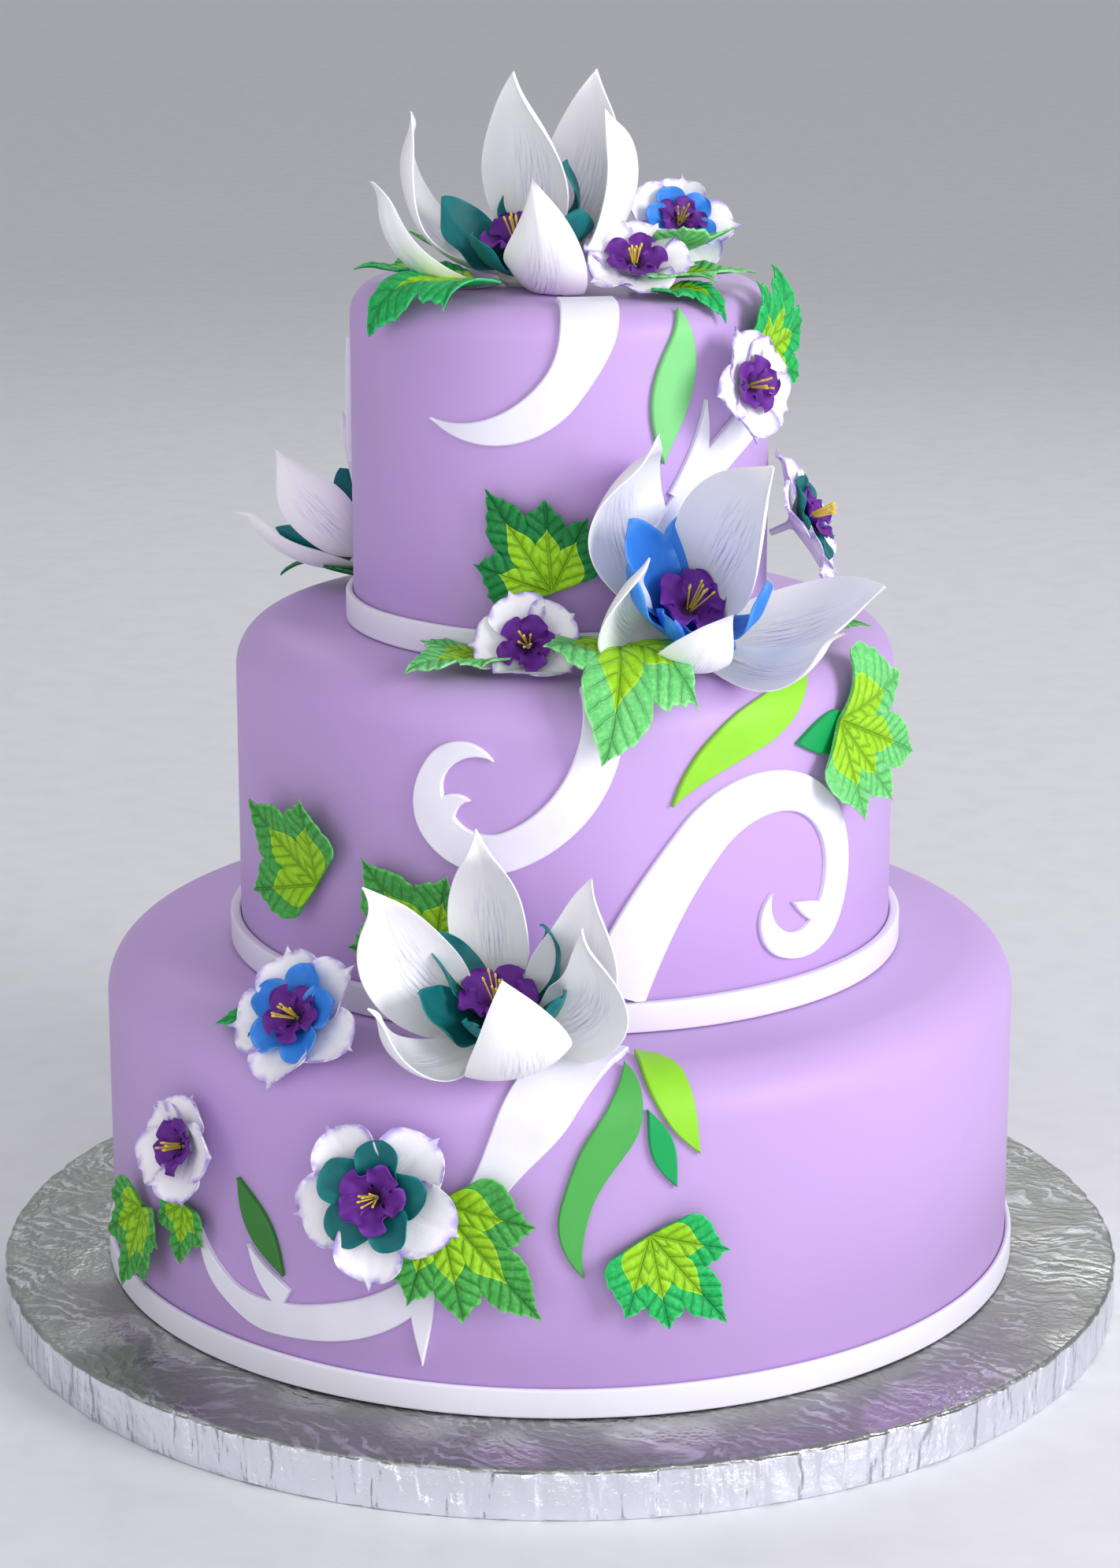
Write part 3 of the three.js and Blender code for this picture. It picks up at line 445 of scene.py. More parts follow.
@dataclass
class Shape:
    """A mesh in the making: corners in millimetres, faces, and numbers carried by each corner."""

    corners: list[Array] = field(default_factory=list)
    faces: list[list[int]] = field(default_factory=list)
    finish_of: list[int] = field(default_factory=list)
    marks: dict[str, list[Array]] = field(default_factory=dict)
    count: int = 0

    def add(self, corners: Array, faces: list[list[int]], finish: int = 0, **marks: Array) -> None:
        """Adds corners and faces.

        Args:
            corners: points, one a row.
            faces: lists of corner numbers.
            finish: which of the piece's finishes the faces take.
            marks: a number for each corner, by name.
        """
        flat = corners.reshape(-1, 3)
        for name in set(self.marks) | set(marks):
            column = self.marks.setdefault(name, [np.zeros(self.count)])
            column.append(marks.get(name, np.zeros(len(flat))).reshape(-1))
        self.corners.append(flat)
        self.faces += [[corner + self.count for corner in face] for face in faces]
        self.finish_of += [finish] * len(faces)
        self.count += len(flat)

    def add_sheet(self, outer: Array, inner: Array, finish: int = 0, **marks: Array) -> None:
        """Adds a closed sheet between two grids of corners.

        Args:
            outer: corners of the top face, as rows x columns x 3.
            inner: corners of the under face, alike.
            finish: which of the piece's finishes it takes.
            marks: a number for each grid corner, by name.
        """
        rows, columns = outer.shape[:2]
        half = rows * columns
        at = np.arange(half).reshape(rows, columns)
        a, b, c, d = at[:-1, :-1], at[:-1, 1:], at[1:, 1:], at[1:, :-1]
        top = np.stack([a, b, c, d], -1).reshape(-1, 4)
        faces = [*top.tolist(), *(top[:, ::-1] + half).tolist()]
        rim = [*at[0, ::-1], *at[1:, 0], *at[-1, 1:], *at[-2:0:-1, -1]]
        for here, there in zip(rim, rim[1:] + rim[:1]):
            faces.append([int(here), int(there), int(there) + half, int(here) + half])
        both = {name: np.concatenate([mark.reshape(-1)] * 2) for name, mark in marks.items()}
        self.add(np.concatenate([outer.reshape(-1, 3), inner.reshape(-1, 3)]), faces, finish, **both)

    def add_loft(self, rings: Array, finish: int = 0, closed: bool = True, **marks: Array) -> None:
        """Adds a skin over rings of corners.

        Args:
            rings: corners as rings x corners x 3; a ring whose corners meet closes an end.
            finish: which of the piece's finishes it takes.
            closed: whether the last ring joins the first.
            marks: a number for each corner, by name.
        """
        levels, around = rings.shape[:2]
        at = np.arange(levels * around).reshape(levels, around)
        upper = np.roll(at, -1, 0) if closed else at[1:]
        lower = at if closed else at[:-1]
        quads = np.stack([lower, np.roll(lower, -1, 1), np.roll(upper, -1, 1), upper], -1).reshape(-1, 4)
        self.add(rings, quads.tolist(), finish, **marks)

    def build(self, name: str, finishes: Sequence[Finish], crease: float = 50.0) -> bpy.types.Object:
        """Makes the object, merged, facing outwards and smooth but for edges sharper than crease.

        Args:
            name: the piece's name.
            finishes: the finishes its faces refer to.
            crease: the angle in degrees past which an edge stays sharp.

        Returns:
            The object, at the origin.
        """
        mesh = bpy.data.meshes.new(name)
        mesh.from_pydata((np.concatenate(self.corners) * MM).tolist(), [], self.faces)
        for mark, columns in self.marks.items():
            mesh.attributes.new(mark, "FLOAT", "POINT").data.foreach_set(
                "value", np.concatenate(columns).astype(np.float32))
        mesh.polygons.foreach_set("material_index", self.finish_of)
        return settle(mesh, name, finishes, crease)


def settle(mesh: bpy.types.Mesh, name: str, finishes: Sequence[Finish], crease: float) -> bpy.types.Object:
    """Merges a mesh's doubles, turns its faces outwards, sets its smoothing and makes its object.

    Args:
        mesh: the mesh.
        name: the piece's name.
        finishes: the finishes its faces refer to.
        crease: the angle in degrees past which an edge stays sharp.

    Returns:
        The object, linked to the scene.
    """
    work = bmesh.new()
    work.from_mesh(mesh)
    bmesh.ops.remove_doubles(work, verts=work.verts, dist=2e-6)
    bmesh.ops.dissolve_degenerate(work, edges=work.edges, dist=1e-7)
    bmesh.ops.recalc_face_normals(work, faces=work.faces)
    limit = math.radians(crease)
    for face in work.faces:
        face.smooth = True
    for edge in work.edges:
        edge.smooth = len(edge.link_faces) == 2 and edge.calc_face_angle(0.0) < limit
    work.to_mesh(mesh)
    work.free()
    for finish in finishes:
        mesh.materials.append(finish.material())
    piece = bpy.data.objects.new(name, mesh)
    bpy.context.scene.collection.objects.link(piece)
    return piece


def place_piece(piece: bpy.types.Object, slot: str, *nodes: str) -> None:
    """Fixes a finished piece to the cake in place of its plain solids, and reports it.

    Args:
        piece: the finished piece.
        slot: the record's material slot; not used.
        nodes: the plain solids it stands for.
    """
    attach(piece, BODY)
    if nodes:
        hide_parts(*nodes)
    log.info("%s: %d faces", piece.name, len(piece.data.polygons))


class ShapeTree(Graph):
    """A Geometry Nodes tree with named inputs."""

    def __init__(self, name: str, inputs: dict[str, float]) -> None:
        """Makes the tree with a geometry input, the named numbers and a geometry output."""
        super().__init__(bpy.data.node_groups.new(name, "GeometryNodeTree"))
        face = self.tree.interface
        face.new_socket("Geometry", in_out="INPUT", socket_type="NodeSocketGeometry")
        for label, value in inputs.items():
            face.new_socket(label, in_out="INPUT", socket_type="NodeSocketFloat").default_value = value
        face.new_socket("Geometry", in_out="OUTPUT", socket_type="NodeSocketGeometry")
        self.entry = self.tree.nodes.new("NodeGroupInput")

    def given(self, label: str) -> Value:
        """One of the tree's named inputs."""
        return Value(self, self.entry.outputs[label])

    def end(self, geometry: Value, finish: Finish) -> None:
        """Realizes the instances, sets the material and closes the tree."""
        real = self.node("GeometryNodeRealizeInstances", {}, {0: geometry})
        dressed = self.node("GeometryNodeSetMaterial", {}, {"Geometry": real, "Material": finish.material()})
        self.node_end(dressed)

    def node_end(self, geometry: Value) -> None:
        """Links the tree's output."""
        out = self.tree.nodes.new("NodeGroupOutput")
        self.tree.links.new(geometry.socket, out.inputs[0])

    def grow(self, carrier: bpy.types.Mesh, values: dict[str, float]) -> bpy.types.Mesh:
        """Runs the tree on a mesh and returns the result as a plain mesh.

        Args:
            carrier: the mesh that the tree starts from.
            values: the named inputs.

        Returns:
            The grown mesh.
        """
        holder = bpy.data.objects.new("grow", carrier)
        bpy.context.scene.collection.objects.link(holder)
        modifier = holder.modifiers.new("grow", "NODES")
        modifier.node_group = self.tree
        for item in self.tree.interface.items_tree:
            if item.item_type == "SOCKET" and item.in_out == "INPUT" and item.name in values:
                modifier[item.identifier] = float(values[item.name])
        graph = bpy.context.evaluated_depsgraph_get()
        mesh = bpy.data.meshes.new_from_object(holder.evaluated_get(graph), depsgraph=graph)
        bpy.data.objects.remove(holder)
        return mesh


# ---------------------------------------------------------------- tiers, bands and drum


def rounded_corner(reach: float, height: float, radius: float, steps: int) -> list[tuple[float, float]]:
    """Profile points round a top outer corner.

    Args:
        reach: the corner's distance from the axis.
        height: the corner's height.
        radius: how far it is rounded.
        steps: how many chords round it.

    Returns:
        (distance, height) points, from the side to the top.
    """
    turns = [math.pi / 2 * step / steps for step in range(steps + 1)]
    return [(reach - radius * (1 - math.cos(t)), height - radius * (1 - math.sin(t))) for t in turns]


def lathe(profile: Sequence[tuple[float, float]], around: int) -> Array:
    """Rings of corners of a profile turned about Z, one ring for each profile point."""
    turns = np.arange(around) * math.tau / around
    reach, height = np.array(profile).T
    return np.stack([
        reach[:, None] * np.sin(turns), -reach[:, None] * np.cos(turns),
        np.broadcast_to(height[:, None], (len(reach), around)),
    ], -1)


@dataclass(frozen=True)
class Tier:
    """One iced tier and the places on its skin. Sizes in millimetres."""

    name: str
    radius: float
    height: float
    edge: float
    foot: float
    border: float
    border_height: float
    centre_x: float = 0.0

    def skin(self, climb: Array) -> tuple[Array, Array, Array]:
        """Radius, height over the foot and outward slope at a climb."""
        over = climb - (self.height - self.edge)
        slope = np.clip(over / self.edge, 0, math.pi / 2)
        inward = np.maximum(over - self.edge * math.pi / 2, 0)
        radius = self.radius - self.edge * (1 - np.cos(slope)) - inward
        return radius, np.minimum(climb, self.height - self.edge) + self.edge * np.sin(slope), slope

    def place(self, turn: Array, climb: Array, lift: Array) -> Array:
        """Points off the skin.

        Args:
            turn: degrees about the axis.
            climb: distance up the skin.
            lift: distance off it.

        Returns:
            The points.
        """
        radius, height, slope = self.skin(climb)
        reach, angle = radius + lift * np.cos(slope), np.radians(turn)
        return np.stack(np.broadcast_arrays(
            self.centre_x + reach * np.sin(angle), -reach * np.cos(angle),
            self.foot + height + lift * np.sin(slope)), -1)

    def turn_over(self, climb: Array, distance: Array) -> Array:
        """Degrees of turn that a distance across the skin makes."""
        return np.degrees(distance / np.maximum(self.skin(climb)[0], 20))

    def climb_range(self) -> tuple[float, float]:
        """The least and greatest climb of trim, from its own border to the tier above."""
        above = {"bottom": "middle", "middle": "top"}.get(self.name)
        ledge = 0.0
        if above:
            upper = TIERS[above]
            ledge = upper.radius + upper.border + abs(upper.centre_x - self.centre_x) + 0.6
        edge_cut = self.edge * (2 - math.pi / 2)
        return self.border_height + 0.3, self.height + self.radius - edge_cut - ledge

    def depth(self, points: Array) -> tuple[Array, Array]:
        """How far points are outside the tier, and the way out.

        Args:
            points: the points.

        Returns:
            The signed distance and the unit way out of each point.
        """
        flat = points[..., :2] - np.array([self.centre_x, 0.0])
        away = np.maximum(np.linalg.norm(flat, axis=-1), 1e-6)
        top = self.foot + self.height
        side = away - (self.radius - self.edge)
        up = points[..., 2] - (top - self.edge)
        out = np.stack([np.maximum(side, 0), np.maximum(up, 0)], -1)
        length = np.linalg.norm(out, axis=-1)
        distance = length + np.minimum(np.maximum(side, up), 0) - self.edge
        flat_way = flat / away[..., None]
        share = out / np.maximum(length, 1e-6)[..., None]
        inside = length < 1e-6
        share[inside] = np.where((side > up)[inside][:, None], [1.0, 0.0], [0.0, 1.0])
        way = np.concatenate([flat_way * share[..., :1], share[..., 1:]], -1)
        return np.where(points[..., 2] > self.foot - 1, distance, 99.0), way

    def build(self) -> None:
        """Makes the iced tier."""
        profile = [(0, 0), (self.radius - 1.2, 0), (self.radius, 1.2)]
        profile += rounded_corner(self.radius, self.height, self.edge, 18)
        inner = self.radius - self.edge
        profile += [(inner * share, self.height) for share in (0.8, 0.5, 0.2, 0)]
        shape = Shape()
        shape.add_loft(lathe(profile, 256) + [self.centre_x, 0, self.foot], closed=False)
        place_piece(shape.build(f"tier_{self.name}_icing", [LILAC]), LILAC.slot, f"tier_{self.name}")


TIERS = {
    "bottom": Tier("bottom", 184, 132.4, 20, 20.7, 2.6, 11.6),
    "middle": Tier("middle", 131.4, 130.7, 18, 153.4, 4.3, 11.7, 2.0),
    "top": Tier("top", 82.2, 133.6, 12, 284.4, 3.0, 12.0),
}


def clear_of_cake(points: Array, clearance: float) -> Array:
    """Pushes points out of the tiers and off their borders.

    Args:
        points: any array of points.
        clearance: how far off the icing they end at least.

    Returns:
        The moved points.
    """
    moved = points.copy()
    for tier in TIERS.values():
        for _ in range(2):
            near_foot = moved[..., 2] < tier.foot + tier.border_height + clearance
            distance, way = tier.depth(moved)
            wanted = clearance + np.where(near_foot & (way[..., 2] < 0.5), tier.border, 0.0)
            moved += way * np.maximum(wanted - distance, 0)[..., None]
    return moved


@dataclass
class Bands:
    """The white bands round the feet of the tiers, each a rounded strip swept round a circle."""

    corner: float = 1.1
    around: int = 256

    def tree(self) -> ShapeTree:
        """The sweep: a filleted strip carried round a circle."""
        tree = ShapeTree("band_sweep", {"Radius": 0.1, "Width": 0.002, "Height": 0.01, "Corner": 0.001})
        ring = tree.node("GeometryNodeCurvePrimitiveCircle", {},
                         {"Resolution": self.around, "Radius": tree.given("Radius")})
        strip = tree.node("GeometryNodeCurvePrimitiveQuadrilateral", {},
                          {"Width": tree.given("Width"), "Height": tree.given("Height")})
        soft = tree.node("GeometryNodeFilletCurve", {"mode": "POLY"},
                         {"Curve": strip, "Count": 4, "Radius": tree.given("Corner")})
        tree.end(tree.node("GeometryNodeCurveToMesh", {}, {"Curve": ring, "Profile Curve": soft}), WHITE_BAND)
        return tree

    def build(self) -> None:
        """Sweeps one band for each tier and sets it round the tier's foot."""
        tree = self.tree()
        for name, tier in TIERS.items():
            mesh = tree.grow(bpy.data.meshes.new("band_start"), {
                "Radius": (tier.radius + tier.border / 2 + 0.1) * MM, "Width": (tier.border - 0.1) * MM,
                "Height": tier.border_height * MM, "Corner": self.corner * MM,
            })
            spots = np.zeros(len(mesh.vertices) * 3)
            mesh.vertices.foreach_get("co", spots)
            spots = spots.reshape(-1, 3)
            turn = np.arctan2(spots[:, 1], spots[:, 0])
            hand = np.sin(5 * turn + tier.radius) + 0.6 * np.sin(11 * turn + 1.7)
            spots[:, 2] *= 1 + 0.012 * hand
            spots += np.array([tier.centre_x, 0, tier.foot + tier.border_height / 2 + 0.1]) * MM
            mesh.vertices.foreach_set("co", spots.reshape(-1))
            mesh.materials.clear()
            piece = settle(mesh, f"border_{name}_band", [WHITE_BAND], 60)
            place_piece(piece, WHITE_BAND.slot, f"border_{name}")


@dataclass
class Drum:
    """The cake drum: a thick board wrapped in embossed foil, pleated round its edge."""

    radius: float = 230.0
    thickness: float = 20.4
    around: int = 1080
    pleats: int = 46

    def build(self) -> None:
        """Makes the wrapped board with its pleats and creases."""
        rng = np.random.default_rng(11)
        turns = np.arange(self.around) * math.tau / self.around
        starts = np.sort(rng.uniform(0, math.tau, self.pleats))
        past = (turns[:, None] - starts[None]) % math.tau
        fold = rng.uniform(0.25, 0.9, self.pleats)[past.argmin(1)] * np.exp(-past.min(1) / 0.016)
        edge = [(3, 0), (1.2, 0.3), (0.6, 1.2)]
        edge += [(0.5, self.thickness * share) for share in (0.2, 0.35, 0.5, 0.65, 0.8)]
        profile = [(0, 0), *((self.radius - inset, height) for inset, height in edge)]
        profile += rounded_corner(self.radius - 0.5, self.thickness, 1.6, 4)
        wrapped = len(profile)
        profile += [(self.radius - inset, self.thickness) for inset in (4, 8, 14, 22, 40, 100)]
        profile.append((0, self.thickness))
        rings = lathe(profile, self.around)
        on_side = np.zeros(len(profile))
        on_side[3:wrapped] = 1.0
        on_side[wrapped:wrapped + 3] = (0.6, 0.3, 0.1)
        level = np.arange(len(profile))[:, None]
        waves = sum(
            rng.uniform(0.05, 0.13) * np.sin(turns * rng.integers(14, 170) + level * rng.uniform(-0.9, 0.9)
                                             + rng.uniform(0, 9))
            for _ in range(14)
        )
        dent = (waves - fold) * on_side[:, None]
        reach = np.linalg.norm(rings[..., :2], axis=-1, keepdims=True)
        rings[..., :2] *= 1 + np.minimum(dent, 0.3)[..., None] / np.maximum(reach, 1)
        rings[wrapped:wrapped + 3, :, 2] -= np.abs(dent[wrapped:wrapped + 3])
        shape = Shape()
        shape.add_loft(rings, closed=False)
        place_piece(shape.build("cake_drum_foil", [SILVER], 40), SILVER.slot, "cake_drum")


# ---------------------------------------------------------------- scrolls and flat leaves


@dataclass(frozen=True)
class Path:
    """A ribbon's middle line over a flattened tier: arcs from a start, with widths at their ends.

    start is (turn, climb), heading is in degrees (0 up, 90 to the right), each arc is (length,
    bend in degrees), and a width of 0 makes a point.
    """

    start: tuple[float, float]
    heading: float
    arcs: Sequence[tuple[float, float]]
    widths: Sequence[float]
    step: float = 1.4

    @staticmethod
    def width_between(first: float, last: float, share: Array) -> Array:
        """Width at shares of an arc between the widths at its ends."""
        quarter = share * math.pi / 2
        if first == 0:
            return last * np.sin(quarter)
        if last == 0:
            return first * np.cos(quarter)
        return first + (last - first) * np.sin(quarter) ** 2

    def rows(self, radius: float) -> tuple[Array, Array, Array]:
        """Places, aims and widths along the line.

        Args:
            radius: the tier's radius.

        Returns:
            The places in the flattened skin, the aims in radians and the widths.
        """
        place = np.array([math.radians(self.start[0]) * radius, self.start[1]])
        aim = math.radians(self.heading)
        places, aims, widths = [place[None]], [np.array([aim])], [np.array(self.widths[:1], float)]
        for (length, bend), first, last in zip(self.arcs, self.widths, self.widths[1:]):
            count = max(6, round(length / self.step))
            share = np.arange(1, count + 1) / count
            half = math.radians(bend) * share / 2
            chord = length * share * np.sinc(half / math.pi)
            places.append(place + chord[:, None] * np.stack([np.sin(aim + half), np.cos(aim + half)], -1))
            aims.append(aim + 2 * half)
            widths.append(self.width_between(first, last, share))
            place, aim = places[-1][-1], aims[-1][-1]
        return np.concatenate(places), np.concatenate(aims), np.concatenate(widths)


@dataclass(frozen=True)
class Ribbon:
    """A shape cut from rolled paste: its path, with spurs joined on."""

    node: str
    tier: str
    finish: Finish
    path: Path
    spurs: Sequence[Path] = ()
    thickness: float = 2.4
    chamfer: float = 0.55

    def strip(self, path: Path) -> bpy.types.Object:
        """Makes one strip of paste on the tier's skin."""
        tier = TIERS[self.tier]
        places, aims, widths = path.rows(tier.radius)
        half = np.maximum(widths, 0.02)[:, None] / 2
        level = np.maximum(half - self.chamfer, 0)
        across = np.hstack([-half, level * np.linspace(-1, 1, 9), half])
        low, high = tier.climb_range()
        climb = np.clip(places[:, 1:] + np.sin(aims)[:, None] * across, low, high)
        turn = np.degrees(places[:, :1] / tier.radius) - tier.turn_over(climb, np.cos(aims)[:, None] * across)
        top = np.full(across.shape, self.thickness)
        top[:, [0, -1]] -= self.chamfer
        shape = Shape()
        shape.add_sheet(tier.place(turn, climb, top), tier.place(turn, climb, np.full(across.shape, 0.1)))
        return shape.build("strip", [self.finish])

    def build(self) -> None:
        """Makes the strips, joins them into one closed piece and places it."""
        whole, *others = [self.strip(path) for path in (self.path, *self.spurs)]
        for other in others:
            cut = whole.modifiers.new("join", "BOOLEAN")
            cut.operation, cut.object, cut.solver = "UNION", other, "MANIFOLD"
        graph = bpy.context.evaluated_depsgraph_get()
        mesh = bpy.data.meshes.new_from_object(whole.evaluated_get(graph), depsgraph=graph)
        for spare in (whole, *others):
            bpy.data.objects.remove(spare)
        mesh.materials.clear()
        piece = settle(mesh, f"{self.node}_paste", [self.finish], 28)
        place_piece(piece, self.finish.slot, self.node)


SCROLLS = (
    Ribbon("scroll_top_hook", "top", WHITE_PASTE, Path(
        (9, 150), 182, ((16, 4), (32, 30), (58, 80)), (22, 22, 16, 0))),
    Ribbon("scroll_top_fork", "top", WHITE_PASTE, Path((23, 35), 25, ((78, 45),), (10, 15)),
           (Path((33, 60), 35, ((40, -35),), (12, 0)),)),
    Ribbon("scroll_top_left", "top", WHITE_PASTE, Path((-95, 110), 180, ((25, 0), (25, 10)), (0, 10, 0))),
    Ribbon("scroll_middle_curl", "middle", WHITE_PASTE, Path(
        (6, 135), 172, ((34, 30), (44, 45), (30, 75), (27, 75), (24, 95)), (15, 16, 15, 15, 9, 0)),
           (Path((-20, 84), 20, ((13, 85),), (9, 0)),)),
    Ribbon("scroll_middle_arch", "middle", WHITE_PASTE, Path(
        (8, 15), 20, ((68, 20), (62, 92), (48, 80), (28, 80), (26, 105)), (24, 20, 14, 15, 10, 0)),
           (Path((47, 35), 290, ((16, 10),), (8, 0)),)),
    Ribbon("scroll_bottom_sweep", "bottom", WHITE_PASTE, Path(
        (5, 160), 210, ((42, 3), (44, -4), (20, -3), (58, 46), (36, 16), (26, 34), (24, 44)),
        (28, 25, 13, 11, 15, 13, 9, 0)),
           (Path((-34, 34), 300, ((26, 32),), (10, 0)), Path((-16, 50), 182, ((32, -4),), (10, 0)))),
)

SOFT_GREEN = Finish("leaf_soft_green", (124, 208, 128), 0.45, 0.03, slot="leaf_soft_green")
LIME = Finish("leaf_lime", (142, 212, 44), 0.45, 0.03, slot="leaf_lime")
EMERALD = Finish("leaf_emerald", (0, 160, 84), 0.45, 0.03, slot="leaf_emerald")
GREEN = Finish("leaf_green", (78, 172, 80), 0.45, 0.03, slot="leaf_green")
DARK_GREEN = Finish("leaf_dark_green", (52, 126, 48), 0.45, 0.03, slot="leaf_dark_green")

FLAT_LEAVES = (
    Ribbon("flat_leaf_top", "top", SOFT_GREEN, Path((34, 133), 182, ((29, 14), (30, -15)), (0, 17, 0))),
    Ribbon("flat_leaf_middle_lime", "middle", LIME, Path((48, 136), 226, ((43, 24), (44, -36)), (6, 17, 0))),
    Ribbon("flat_leaf_middle_emerald", "middle", EMERALD,
           Path((41, 104), 88, ((22, 0), (8, 0)), (0, 17, 12))),
    Ribbon("flat_leaf_bottom_long", "bottom", GREEN, Path(
        (8, 140), 170, ((32, 46), (30, -20), (28, -46)), (0, 15, 11, 0))),
    Ribbon("flat_leaf_bottom_lime", "bottom", LIME, Path((10, 150), 148, ((22, 18), (30, -16)), (0, 15, 0))),
    Ribbon("flat_leaf_bottom_emerald", "bottom", EMERALD, Path(
        (10, 120), 155, ((16, 10), (16, -10)), (0, 9, 0))),
    Ribbon("flat_leaf_bottom_left", "bottom", DARK_GREEN,
           Path((-41, 78), 154, ((20, -8), (21, 0)), (0, 12, 0))),
)


# ---------------------------------------------------------------- ivy


class Cutter(Enum):
    """Ivy cutters: lobes as (angle from the midrib, reach as a share of the leaf's length)."""

    THREE = ((-50, 0.75), (0, 1.0), (50, 0.75))
    FOUR = ((-38, 0.65), (0, 1.0), (28, 0.8), (55, 0.7))
    FIVE = ((-80, 0.6), (-38, 0.8), (0, 1.0), (38, 0.8), (75, 0.6))


class LeafSize(Enum):
    """Lengths that the ivy is cut in."""

    LARGE = 58.0
    MEDIUM = 46.0
    SMALL = 37.0
    TINY = 26.0


class Level(Enum):
    """Climbs at which leaves are set on a tier."""

    FOOT = 28.0
    LOWER = 48.0
    LOW = 60.0
    MIDDLE = 73.0
    SIDE = 85.0
    HIGH = 110.0
    RIM = 150.0
    RING = 160.0
    INNER = 168.0


class Layer(Enum):
    """How far off the skin a leaf's stalk end lies."""

    PRESSED = 1.4
    RESTING = 3.4
    OVER = 5.0
    TOP = 11.0


